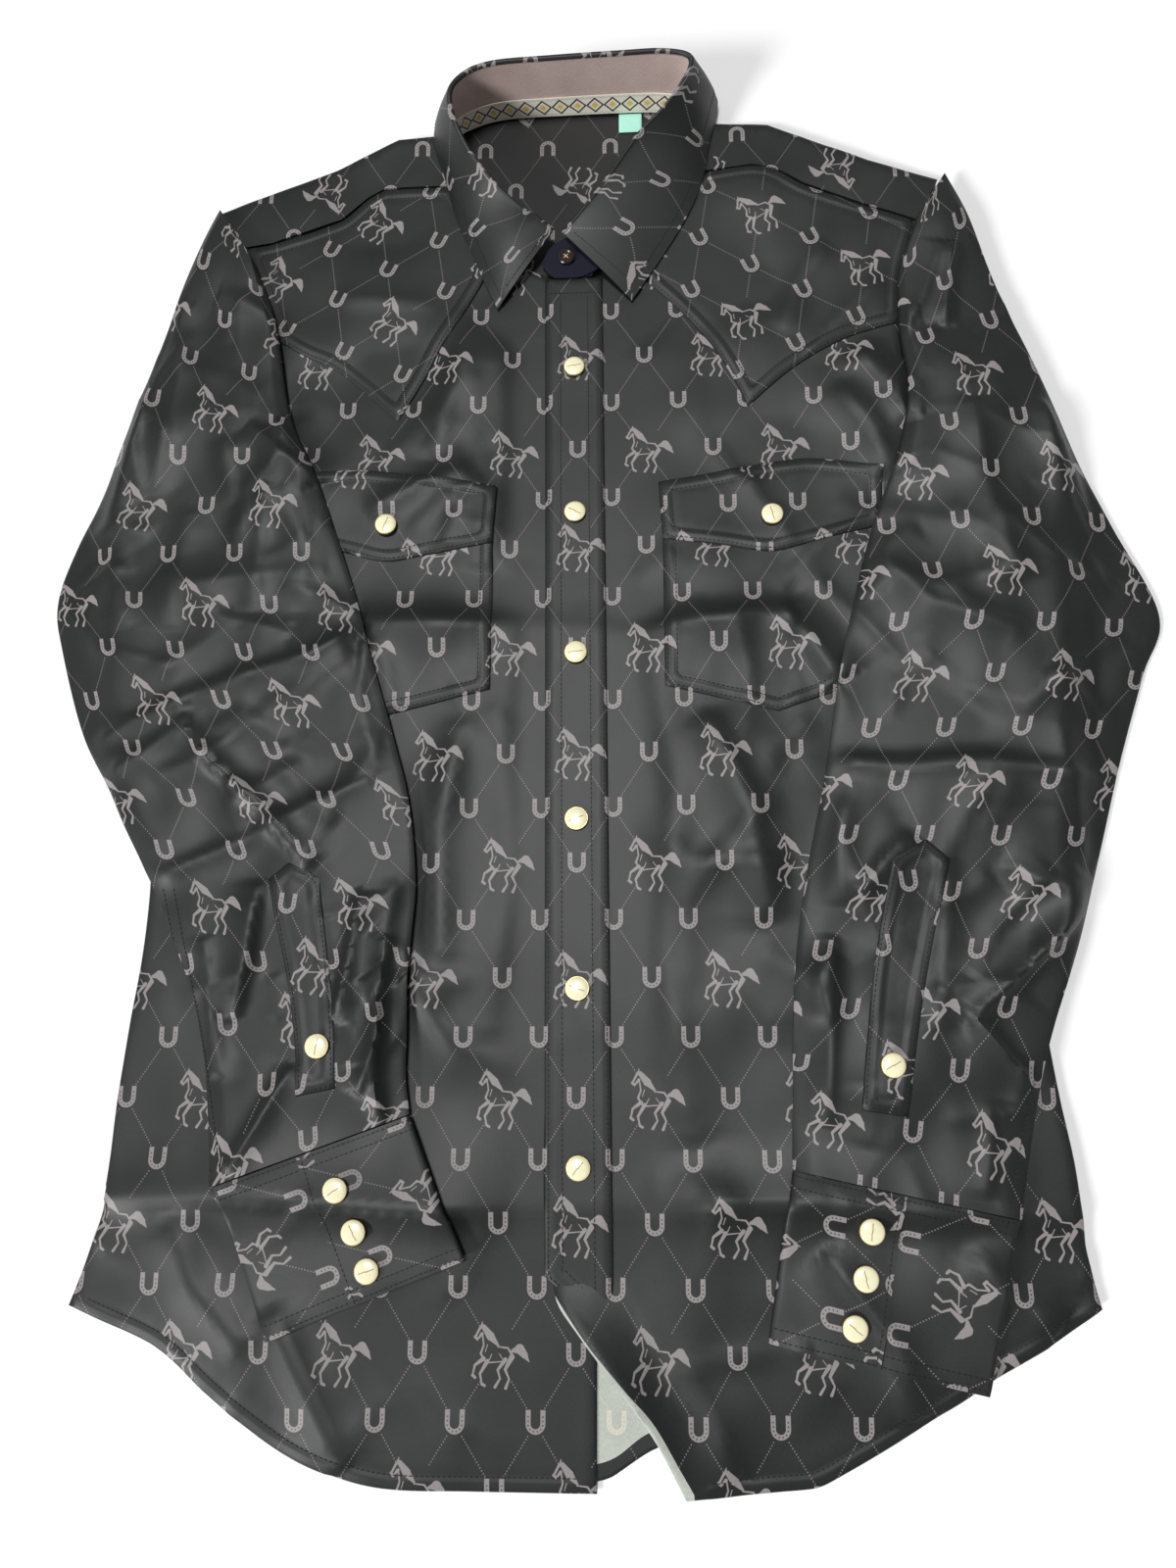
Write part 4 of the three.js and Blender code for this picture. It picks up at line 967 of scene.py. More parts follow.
def run_along(line):
    """How far each point of a flat line is from its start, along the line."""
    return np.concatenate([[0], np.cumsum(np.hypot(*np.diff(line, axis=0).T))])


def beside(line, offset):
    """A line that runs to the left of another, at an even or a changing distance."""
    return line + line_normals(line) * np.reshape(offset, (-1, 1))


def turned_rise(points):
    """The corner of the over front stands up along its edge and falls off steeply to a valley."""
    gap, share = distances(points, TURNED_EDGE)
    rise = 13.0 * np.sin(math.pi * (0.10 + 0.90 * share))
    return rise * np.clip(1 - np.abs(gap) / 30, 0, 1) ** 1.4


def front_edge(side):
    """The free edge of a front by the placket's foot."""
    if side == "right":
        return TURNED_EDGE
    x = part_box("front_left")[1].x / MM + CENTRE_FRONT[0]
    return [(x, 0), (x, 700)]


def hem_only(side):
    """1 along a front's hem, 0 along its front edge and up its side."""
    edge = front_edge(side)
    return lambda p: (p[:, 1] < HEM_TOP) * np.clip((np.abs(distances(p, edge)[0]) - 9) / 3, 0, 1)


def build_body():
    """The back, the two fronts and the placket, each on what lies below it."""
    back_top = level("back")
    hem_line = curve_through(BACK_HEM, 120)
    hem_seam = beside(hem_line, HEM_DEPTH)

    def back_faces(middles):
        return np.where(distances(middles, hem_seam)[0] < 0, 0, 1)

    back = panel("back_cloth", "back", lambda p: np.full(len(p), back_top), plies=1,
                 spacing=9.0, seam=hem_seam[hem_seam[:, 1] < 80])
    middles = np.array([tuple(p.center)[:2] for p in back.data.polygons]) / MM + CENTRE_FRONT
    up = np.array([p.normal.z for p in back.data.polygons])
    which = np.where(up > FACING_UP, back_faces(middles), 0)
    back.data.polygons.foreach_set("material_index", which.astype(np.int32))
    under = panel("front_left_cloth", "front_left", over_body("front_left"),
                  seamed=hem_only("left"))
    over_level = UNDER_TOP + 1.5
    edge_line = curve_through(TURNED_EDGE, 60)
    band = np.clip(4.6 - 5.0 * np.linspace(0, 1, 60), 0.9, 4.6)
    fold_line = beside(edge_line, -band)[1:-1]

    def over_height(points):
        return over_level + turned_rise(points) + body_relief(points)

    def turned_reverse(middles):
        gap, share = distances(middles, edge_line)
        near = (np.abs(gap) < band.max() + 0.5) & (share < 0.98)
        return np.where(near & (distances(middles, fold_line)[0] > 0), 1, 0)

    over = panel("front_right_cloth", "front_right", over_height, choose=turned_reverse,
                 seam=fold_line, seamed=hem_only("right"))
    placket = panel("placket_cloth", "front_placket", over_body("front_placket"), spacing=4.0,
                    seamed=lambda p: np.clip((646 - p[:, 1]) / 3, 0, 1),
                    second_row=PLACKET_ROW)
    for made, below in ((back, "floor"), (under, back), (over, under), (placket, over)):
        declare(made)


def build_yokes():
    """The back yoke, which wraps over the shoulders, and the pointed yokes on the fronts."""
    places, faces = cad_faces("yoke_back", 3)
    points = list(places)
    triangles = []
    for ring, _ in faces:
        triangles += [(ring[0], ring[k], ring[k + 1]) for k in range(1, len(ring) - 1)]
    for _ in range(5):
        triangles = split_long(points, triangles, 7.0)
    points = np.array(points)
    raised = np.clip((points[:, 2] - 1.4) / 1.2, 0, 1)
    points[:, 2] += raised * body_relief(points[:, :2])
    cloth = turned(points[:, :2], 180)
    yoke = add_mesh("yoke_back_cloth", points, triangles, cloth, ("cloth",))
    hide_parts("yoke_back")
    declare(yoke)
    for side in SIDES:
        node = f"yoke_front_{side}"
        made = panel(f"{node}_cloth", node, over_body(node), spacing=4.0,
                     grain=24 if side == "left" else -24, shift=(7, 11))
        declare(made)


def split_long(points, triangles, longest):
    """Splits edges that are too long, in the triangles on both sides of them."""
    middles, made = {}, []

    def middle(a, b):
        key = (min(a, b), max(a, b))
        if key not in middles:
            if np.linalg.norm(points[a] - points[b]) <= longest:
                middles[key] = None
            else:
                middles[key] = len(points)
                points.append((points[a] + points[b]) / 2)
        return middles[key]

    for a, b, c in triangles:
        ab, bc, ca = middle(a, b), middle(b, c), middle(c, a)
        marks = [m is not None for m in (ab, bc, ca)]
        if not any(marks):
            made.append((a, b, c))
        elif all(marks):
            made += [(a, ab, ca), (ab, b, bc), (ca, bc, c), (ab, bc, ca)]
        else:
            ring = [v for v in (a, ab, b, bc, c, ca) if v is not None]
            start = next(k for k, v in enumerate(ring) if v in (ab, bc, ca))
            ring = ring[start:] + ring[:start]
            made += [(ring[0], ring[k], ring[k + 1]) for k in range(1, len(ring) - 1)]
    return made


def build_pockets():
    """The two pockets on the fronts, and the pointed flaps on them."""
    for side in SIDES:
        for part, below, shift in (("pocket", "front", (0, 0)), ("flap", "pocket", (12, 7))):
            node = f"{part}_{side}"
            made = panel(f"{node}_cloth", node, over_body(node), spacing=4.0, shift=shift)
            declare(made)


# ------------------------------------------------------------------ sleeves and cuffs
SLEEVES = {
    "left": (LEFT_SLEEVE, LEFT_SLEEVE_CREASES, LEFT_SIDE, LEFT_CUFF, 6.0),
    "right": (RIGHT_SLEEVE, RIGHT_SLEEVE_CREASES, RIGHT_SIDE, RIGHT_CUFF, 7.5),
}
SLEEVE_ROWS, SLEEVE_ACROSS = 200, 52
SHADED_HEAD_ROWS = 8  # rows by the armhole whose inside is given the dark printed face as painted shade
TABLE_GAP = 0.3
WIDEST_FACE = 0.03  # metres of layout; a wider face is on the tube's seam


def sleeve_floor(side, points):
    """The underside of a sleeve: over the body, and down to the table beyond its side."""
    _, _, edge, _, base = SLEEVES[side]
    heights, limits = np.array(edge, float).T
    limit = np.abs(np.interp(points[:, 1], heights, limits))
    limit = np.where(points[:, 1] > 440, 250, limit)
    share = np.clip((np.abs(points[:, 0]) - limit - 10) / 26, 0, 1)
    share = share * share * (3 - 2 * share)
    return base + (TABLE_GAP - base) * share + body_relief(points) * (1 - share)


def build_sleeve(side):
    """A flattened tube of cloth with an outer and an inner wall, open at both ends."""
    rows, creases, _, _, _ = SLEEVES[side]
    wall = bpy.context.scene.shirt_cloth.thickness / MM
    line = curve_through(rows, SLEEVE_ROWS)
    outer, inner, loft = line[:, 0:2], line[:, 2:4], line[:, 4]
    share = (1 - np.cos(np.linspace(0, math.pi, SLEEVE_ACROSS))) / 2
    share = 0.5 * share + 0.5 * np.linspace(0, 1, SLEEVE_ACROSS)
    flat = outer[:, None] + (inner - outer)[:, None] * share[None, :, None]
    places = flat.reshape(-1, 2)
    shape = (SLEEVE_ROWS, SLEEVE_ACROSS)
    low = sleeve_floor(side, places).reshape(shape)
    arch = np.sqrt(np.sin(math.pi * share))[None, :]
    rim = np.minimum(1, np.minimum(share, 1 - share) * 12)[None, :]
    folds = creased(places, creases) * 2.5 + creased(places, SLEEVE_CRUMPLES[side]) * 1.8
    folds = (folds + 0.6 + swell(places, 1.6)).reshape(shape)
    high = low + 2 * wall + 0.5 + (loft[:, None] + 0.6) * arch + np.maximum(folds, 0) * rim
    width = np.hypot(*(inner - outer).T)
    inset = np.clip(share[None, :], wall / width[:, None], 1 - wall / width[:, None])
    core = outer[:, None] + (inner - outer)[:, None] * inset[..., None]
    ring_outer = np.concatenate([np.dstack([flat, low]), np.dstack([flat, high])[:, ::-1]], 1)
    core_low, core_high = np.dstack([core, low + wall]), np.dstack([core, high - wall])
    ring_inner = np.concatenate([core_low, core_high[:, ::-1]], 1)
    count = 2 * SLEEVE_ACROSS
    start = SLEEVE_ROWS * count
    points = np.vstack([ring_outer.reshape(-1, 3), ring_inner.reshape(-1, 3)])
    faces = grid_faces(SLEEVE_ROWS, count, 0, True)
    outside = len(faces)
    faces += [tuple(reversed(face)) for face in grid_faces(SLEEVE_ROWS, count, start, True)]
    last = (SLEEVE_ROWS - 1) * count
    for j in range(count):
        k = (j + 1) % count
        faces.append((k, j, start + j, start + k))
        faces.append((last + j, last + k, start + last + k, start + last + j))
    middle = (outer + inner) / 2
    run = run_along(middle)
    across = share[None, :] * width[:, None] - width[:, None] / 2
    top = np.dstack([across, np.broadcast_to(-run[:, None], shape)])
    bottom = np.dstack([width[:, None] - across, np.broadcast_to(-run[:, None], shape)])
    if side == "right":
        top[..., 0] *= -1
        bottom[..., 0] *= -1
    cloth = np.concatenate([bottom, top[:, ::-1]], 1).reshape(-1, 2)
    which = np.zeros(len(faces), int)
    shaded_head = 2 * count * SHADED_HEAD_ROWS
    # Painted shade: the inside by the armhole keeps the dark printed face instead of the pale
    # reverse, so the sleeve's open head looks dark.
    which[outside + shaded_head:2 * outside] = 1
    made = add_mesh(f"sleeve_{side}_cloth", points, faces, np.vstack([cloth, cloth]),
                    ("cloth", "reverse"), which)
    if volume_of(made) < 0:
        made.data.flip_normals()
    close_layout(made, WIDEST_FACE)
    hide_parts(f"sleeve_{side}")
    declare(made)


def build_facing(side):
    """The pointed facing over the sleeve's slit follows the sleeve below it."""
    below = surface(f"sleeve_{side}_cloth")
    node = f"slit_facing_{side}"

    def height(points):
        found = below(points)
        return np.where(np.isnan(found), np.nanmean(found), found) + 1.1

    made = panel(f"{node}_cloth", node, height, spacing=3.5, shift=(5, 9),
                 grain=6 if side == "left" else -8)
    declare(made)


def build_cuff(side):
    """One band that runs under its own lap, pressed flat."""
    _, _, _, corners, base = SLEEVES[side]
    near_under, near_over, far_under, far_over = (np.array(c, float) for c in corners)
    wall, lap = CUFF_WALL, CUFF_LAP[side]
    upper, lower, cloth = [], [], []
    for share in np.linspace(0, 1, CUFF_STEPS):
        under = near_under + (far_under - near_under) * share
        over = near_over + (far_over - near_over) * share
        width = np.hypot(*(over - under))
        line = cuff_line(width, lap, wall)
        normals = line_normals(line)
        run = run_along(line)
        edge = min(share, 1 - share) * np.hypot(*(far_under - near_under))
        soft = 0.3 * max(0.0, 1 - edge / 3.0)
        for grid, sign in ((upper, 1), (lower, -1)):
            at = line + normals * sign * (wall / 2 - soft * 0.5)
            flat = under + (over - under) * (at[:, :1] / width)
            height = base + at[:, 1] + body_relief(flat)
            grid.append(np.column_stack([flat, height]))
        cloth.append(np.column_stack([np.full(len(line), share * CUFF_DEPTH), run]))
    made = walled_grid(f"cuff_{side}_cloth", np.array(upper), np.array(lower), np.array(cloth),
                       "cloth", f"cuff_{side}")
    declare(made)


def cuff_line(width, lap, wall):
    """The middle of the cuff's band across its width, as distance and height."""
    plies = [wall / 2 + 0.2, wall / 2 + 1.4, wall / 2 + 2.7]
    line = [(d, plies[1]) for d in np.linspace((lap + 0.24) * width, 3.0, 14)]
    line += rounded_turn(1.4, plies[1], plies[0], -1)
    line += [(d, plies[0]) for d in np.linspace(3.0, width - 3.0, 26)]
    line += rounded_turn(width - 1.6, plies[0], plies[2], 1)
    line += [(d, plies[2] + 0.35 * math.sin(math.pi * (d / width - lap) / (1 - lap)))
             for d in np.linspace(width - 3.5, lap * width, 24)]
    return np.array(line)


def rounded_turn(x, z_from, z_to, way):
    """A half turn from one height to another."""
    middle, radius = (z_from + z_to) / 2, (z_to - z_from) / 2
    return [(x + way * abs(radius) * math.sin(a), middle - radius * math.cos(a))
            for a in np.linspace(0.3, math.pi - 0.3, 6)]


# ------------------------------------------------------------------ collar
COLLAR_STEPS = 150


def collar_sections(start=0.0, end=1.0):
    """Foot, fold and edge of the collar at even steps round it, with the way out of the neck."""
    rows = np.array(COLLAR, float)
    fine = curve_through(rows, 601)
    marks = np.linspace(0, 1, len(fine))
    pick = np.linspace(start, end, max(12, int(COLLAR_STEPS * (end - start))))
    made = np.array([[np.interp(p, marks, column) for column in fine.T] for p in pick])
    foot, fold, edge = made[:, 0:3], made[:, 3:6], made[:, 6:9]
    ahead = np.gradient(foot, axis=0)
    out = np.cross(fold - foot, ahead)
    out /= np.linalg.norm(out, axis=1)[:, None]
    run = np.concatenate([[0], np.cumsum(np.linalg.norm(np.diff(foot, axis=0), axis=1))])
    return foot, fold, edge, out, run


def build_stand_layer(name, node, reach, offset, wall, low, high, finish, wave=0.0):
    """One layer of the band: "low" is above the neck seam and "high" below the fold if under 0."""
    foot, fold, _, out, run = collar_sections(*reach)
    size = np.linalg.norm(fold - foot, axis=1)
    first = low / size
    last = high / size if high > 0 else 1 + high / size
    across = np.linspace(0, 1, 9)
    share = first[:, None] + (last - first)[:, None] * across[None, :]
    middle = foot[:, None] + (fold - foot)[:, None] * share[..., None]
    ripple = np.sin(run / 9.0) + 0.6 * np.sin(run / 4.7 + 1.0)
    ripple = wave * ripple[:, None] * np.sin(math.pi * across)[None, :]
    upper = middle + out[:, None] * (offset - wall / 2 + ripple)[..., None]
    lower = middle + out[:, None] * (offset + wall / 2)
    up = share * size[:, None]
    if finish == "braid":
        up = up - (up.min() + up.max()) / 2
    cloth = np.dstack([np.broadcast_to(run[:, None], up.shape), up])
    made = walled_grid(name, upper, lower, cloth, finish, node)
    declare(made)


def build_collar():
    """The band in its layers, the leaf, the band's two ends and the tag."""
    build_stand_layer("stand_cloth", "collar_stand", (0.06, 0.95), 0.0, 1.0, 0.0, -1.4, "cloth")
    build_stand_layer("lining_cloth", "stand_lining", (0.06, 0.95), -1.4, 0.8, 0.0, -1.4,
                      "lining", wave=0.35)
    build_stand_layer("braid_cloth", "neck_braid", (0.22, 0.61), -2.6, 0.7, 0.5, 13.0, "braid")
    build_leaf()
    for side in SIDES:
        node = f"stand_end_{side}"
        top = level(node)
        made = panel(f"{node}_cloth", node, lambda p, top=top: np.full(len(p), top), plies=1,
                     faces_up="navy", faces_down="navy", thickness=0.7, spacing=3.0)
        declare(made)
    top = level("size_tag")
    made = panel("tag_cloth", "size_tag", lambda p: top + 0.5 + 0.02 * (p[:, 1] - 765), plies=1,
                 faces_up="tag", faces_down="tag", thickness=0.3, spacing=2.5)
    declare(made)


LEAF_WALL = 0.9
LEAF_ROLL = ((-1.9, -0.6), (-1.3, 0.5), (-0.2, 0.7), (0.6, 0.0))  # over the band: out, up


def build_leaf():
    """The leaf: over the top of the band and down outside it."""
    foot, fold, edge, _, run = collar_sections()
    out = (edge - fold) * [1, 1, 0]
    reach = np.linalg.norm(out, axis=1)
    out /= reach[:, None]
    drop = edge[:, 2] - fold[:, 2]
    upper, lower, cloth = [], [], []
    for k in range(len(fold)):
        knots = list(LEAF_ROLL)
        for s in (0.12, 0.4, 0.7, 1.0):
            belly = 1.9 * math.sin(math.pi * min(1, 1.1 * s)) * s
            knots.append((0.9 + (reach[k] - 0.9) * s + belly, (drop[k] - 0.2) * s + belly))
        line = curve_through(knots, 26)
        normals = line_normals(line)
        along = run_along(line)
        for grid, sign in ((upper, 1), (lower, -1)):
            at = line + normals * LEAF_WALL / 2 * sign
            grid.append(fold[k] + out[k] * at[:, :1] + np.array([0, 0, 1.0]) * at[:, 1:])
        cloth.append(np.column_stack([np.full(len(line), run[k] * 1.1), -along]))
    made = walled_grid("leaf_cloth", np.array(upper), np.array(lower), np.array(cloth),
                       "cloth", "collar_leaf")
    declare(made)


# ------------------------------------------------------------------ fastenings
SNAP_TURNS = {
    "snap_front_1": 80, "snap_front_2": -62, "snap_front_3": 84, "snap_front_4": 70,
    "snap_front_5": -70, "snap_front_6": 40, "snap_flap_left": 20, "snap_flap_right": -15,
    "snap_slit_left": 10, "snap_slit_right": 62, "snap_cuff_left_1": 55, "snap_cuff_left_2": -30,
    "snap_cuff_left_3": 72, "snap_cuff_right_1": 8, "snap_cuff_right_2": -12,
    "snap_cuff_right_3": -50,
}


# Half the outline of a snap from the middle of its foot to its tip: radius and height. The
# brass rim ends, and the pearl cap begins, at row RIM_ROWS.
SNAP_PROFILE = [
    (0, 0), (5.0, 0), (6.0, 0.5), (6.25, 1.3), (6.25, 1.8), (6.15, 2.2), (5.98, 2.42),
    (5.84, 2.42), (5.78, 2.32), (5.72, 2.4), (5.1, 2.72), (3.6, 3.0), (1.8, 3.15), (0, 3.2),
]
RIM_ROWS = 7


def middle_of(node):
    """The middle of a CAD piece in plan."""
    low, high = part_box(node)
    return np.array([(low.x + high.x) / 2, (low.y + high.y) / 2]) / MM + CENTRE_FRONT


def build_snap(node, below, turn):
    """A pearl cap in a brass rim."""
    radius = bpy.context.scene.shirt_trim.snap_radius / MM
    centre = middle_of(node)
    around = np.linspace(0, 2 * math.pi, 8, endpoint=False)
    ring = np.array([[math.cos(a), math.sin(a)] for a in around])
    found = below(np.vstack([centre, centre + ring * 0.7 * radius]))
    base = float(np.nanmax(found)) - 0.25
    count = 40
    widest = max(r for r, _ in SNAP_PROFILE)
    points, faces, which = [], [], []
    for r, z in SNAP_PROFILE[1:-1]:
        for a in np.linspace(0, 2 * math.pi, count, endpoint=False):
            reach = r * radius / widest
            points.append((centre[0] + reach * math.cos(a), centre[1] + reach * math.sin(a),
                           base + z))
    rows = len(SNAP_PROFILE) - 2
    for i in range(rows - 1):
        for j in range(count):
            k = (j + 1) % count
            faces.append((i * count + j, i * count + k, (i + 1) * count + k, (i + 1) * count + j))
            which.append(1 if i < RIM_ROWS else 0)
    points += [(*centre, base), (*centre, base + SNAP_PROFILE[-1][1])]
    foot, tip = len(points) - 2, len(points) - 1
    for j in range(count):
        k = (j + 1) % count
        faces.append((foot, k, j))
        which.append(1)
        faces.append(((rows - 1) * count + j, (rows - 1) * count + k, tip))
        which.append(0)
    cloth = turned(np.array(points)[:, :2], turn, centre)
    made = add_mesh(f"{node}_cap", points, faces, cloth, ("pearl", "metal"), which, sharp=40)
    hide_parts(node)


def build_fastenings():
    """Every snap on the cloth below it, and the button on the band."""
    below = {
        "front": surface("placket_cloth"),
        "flap": surface("flap_left_cloth", "flap_right_cloth"),
        "slit": surface("slit_facing_left_cloth", "slit_facing_right_cloth"),
        "cuff": surface("cuff_left_cloth", "cuff_right_cloth"),
    }
    for node, turn in SNAP_TURNS.items():
        build_snap(node, below[node.split("_")[1]], turn)
    button = NODES["collar_button"]
    button.data.materials.clear()
    button.data.materials.append(finish_of("button"))
    centre = np.array([*middle_of("collar_button"), level("collar_button") - 0.35])
    points, faces = [], []
    for way in (1, -1):
        half = np.array([1.5 * way, 1.5, 0])
        add_thread(points, faces, centre - half, centre + half, 0.36)
    add_mesh("button_thread", points, faces, None, ("tan",))


# ------------------------------------------------------------------ stitching
def add_thread(points, faces, start, end, radius):
    """One stitch: a short flat-ended bead, bowed a little upwards."""
    ahead = end - start
    size = np.linalg.norm(ahead)
    ahead = ahead / max(size, 1e-9)
    side = np.cross(ahead, [0, 0, 1.0])
    side /= max(np.linalg.norm(side), 1e-9)
    up = np.cross(side, ahead)
    first = len(points)
    for share, swell_by in ((0.0, 0.35), (0.25, 1.0), (0.75, 1.0), (1.0, 0.35)):
        centre = start + ahead * size * share + up * 0.16 * math.sin(math.pi * share)
        for angle in (0, 72, 144, 216, 288):
            a = math.radians(angle)
            points.append(centre + (side * math.cos(a) + up * math.sin(a)) * radius * swell_by)
    for i in range(3):
        for j in range(5):
            k = (j + 1) % 5
            low, high = first + i * 5, first + (i + 1) * 5
            faces.append((low + j, high + j, high + k, low + k))
    faces.append(tuple(first + j for j in range(5)))
    faces.append(tuple(first + 15 + j for j in reversed(range(5))))


def stepped(line, step):
    """Places every step along a line."""
    line = np.asarray(line, float)
    sizes = np.hypot(*np.diff(line[:, :2], axis=0).T)
    run = np.concatenate([[0], np.cumsum(sizes)])
    marks = np.arange(0.6, run[-1], step)
    return np.column_stack([np.interp(marks, run, line[:, k]) for k in range(2)])


def sew(name, lines, height):
    """Rows of stitches along lines, lying on what "height" finds below them."""
    trim = bpy.context.scene.shirt_trim
    step = trim.stitch / MM
    points, faces = [], []
    for line in lines:
        starts = stepped(line, step)
        if len(starts) < 2:
            continue
        ahead = np.gradient(starts, axis=0)
        ahead /= np.hypot(*ahead.T)[:, None] + 1e-9
        ends = starts + ahead * step * 0.72
        z1, z2 = height(starts), height(ends)
        for a, b, za, zb in zip(starts, ends, z1, z2):
            if not (np.isnan(za) or np.isnan(zb)) and abs(za - zb) < 1.2:
                add_thread(points, faces, np.array([*a, za + 0.02]), np.array([*b, zb + 0.02]),
                           THREAD_RADIUS)
    if points:
        return add_mesh(name, points, faces, None, ("thread",), sharp=80)
    raise RuntimeError(f"no stitches could be laid for {name}")


def inset_rim(node, offset, skip=None):
    """Lines that follow a piece's edge inside it, cut where "skip" says that no seam runs."""
    rim = smooth_rim(cad_rim(node))
    ahead = np.roll(rim, -1, 0) - np.roll(rim, 1, 0)
    ahead /= np.hypot(*ahead.T)[:, None] + 1e-9
    ring = rim + np.column_stack([-ahead[:, 1], ahead[:, 0]]) * offset
    closed = np.vstack([rim, rim[:1]])
    good = np.abs(distances(ring, closed)[0]) > 0.9 * offset
    if skip is not None:
        good &= ~skip(ring)
    lines, current = [], []
    start = int(np.argmin(good)) if not good.all() else 0
    order = list(range(start, len(ring))) + list(range(start))
    for k in order:
        if good[k]:
            if current and np.hypot(*(ring[k] - current[-1])) > 14:
                lines.append(current)
                current = []
            current.append(ring[k])
        elif len(current) > 3 and not close_to(ring[k], current[-1]):
            lines.append(current)
            current = []
    if good.all() and current:
        current.append(ring[order[0]])
    if len(current) > 3:
        lines.append(current)
    return lines


def close_to(place, last):
    """A corner's few skipped points don't end a line."""
    return np.hypot(*(place - last)) < 12


def above(height):
    return lambda p: p[:, 1] > height


def by_the_neck(points):
    """Where a front yoke runs into the collar's seam."""
    return (np.abs(points[:, 0]) < 62) & (points[:, 1] > 655)


def cuff_rows(side):
    """Two rows at each end of a cuff and one along the edge of its lap."""
    near_under, near_over, far_under, far_over = (np.array(c, float) for c in SLEEVES[side][3])
    rows = []
    for inset in (0.025, 0.09):
        for share in (inset, 1 - inset):
            a = near_under + (far_under - near_under) * share
            b = near_over + (far_over - near_over) * share
            rows.append([a + (b - a) * 0.02, a + (b - a) * 0.98])
    lap = CUFF_LAP[side] + 0.02
    rows.append([a + (b - a) * lap for a, b in ((near_under, near_over), (far_under, far_over))])
    return rows


def sew_edge(node, rows, skip=None):
    """Rows of stitches along a piece's edge."""
    lines = [line for offset in rows for line in inset_rim(node, offset, skip)]
    sew(f"{node}_stitches", lines, surface(f"{node}_cloth"))


def build_stitching():
    """The rows of thread, laid on the finished cloth."""
    for side in SIDES:
        sew_edge(f"pocket_{side}", (FIRST_ROW, SECOND_ROW), above(484))
        sew_edge(f"flap_{side}", (FIRST_ROW, SEAM_GROOVE))
        sew_edge(f"yoke_front_{side}", (FIRST_ROW, SECOND_ROW), by_the_neck)
        sew_edge(f"slit_facing_{side}", (FIRST_ROW,))
        sew(f"cuff_{side}_stitches", cuff_rows(side), surface(f"cuff_{side}_cloth"))
    placket = inset_rim("front_placket", 2.0, above(643))
    placket += inset_rim("front_placket", PLACKET_ROW, above(641))
    placket.append([(-18, 643), (13, 643)])
    sew("placket_stitches", placket, surface("placket_cloth"))
    _, fold, edge, _, _ = collar_sections()
    reach = np.linalg.norm(edge - fold, axis=1)[:, None]
    row = (edge + (fold - edge) * np.minimum(5.5 / reach, 0.5))[2:-2, :2]
    tips = [[(edge[k] + (fold[k] - edge[k]) * t)[:2] for t in (0.2, 0.9)] for k in (2, -3)]
    sew("leaf_stitches", [row] + tips, surface("leaf_cloth"))
    for side, (start, end) in SLEEVE_SEAMS.items():
        apart = 6 if side == "left" else -6
        lines = [[(start[0] + x, start[1]), (end[0] + x, end[1])] for x in (0, apart)]
        sew(f"sleeve_{side}_stitches", lines, surface(f"sleeve_{side}_cloth"))
    for side in SIDES:
        hem = hem_only(side)
        lines = inset_rim(f"front_{side}", SEAM_GROOVE, lambda p, hem=hem: hem(p) < 0.5)
        sew(f"hem_{side}_stitches", lines, surface(f"front_{side}_cloth"))


# ------------------------------------------------------------------ stage
CAMERA_PLACE = (31.0, -189.6, 597.0)
CAMERA_LEAN, CAMERA_TILT = 12.85, 3.2
CAMERA_LENS = 26.0
LAMP_ANGLE = 14  # degrees across, which makes the shadows soft
FLOOR_REACH = 6.0  # metres
KEY_FROM = (-0.12, 0.13, 0.98)
SIDE_FROM = (-0.75, -0.6, 0.54)


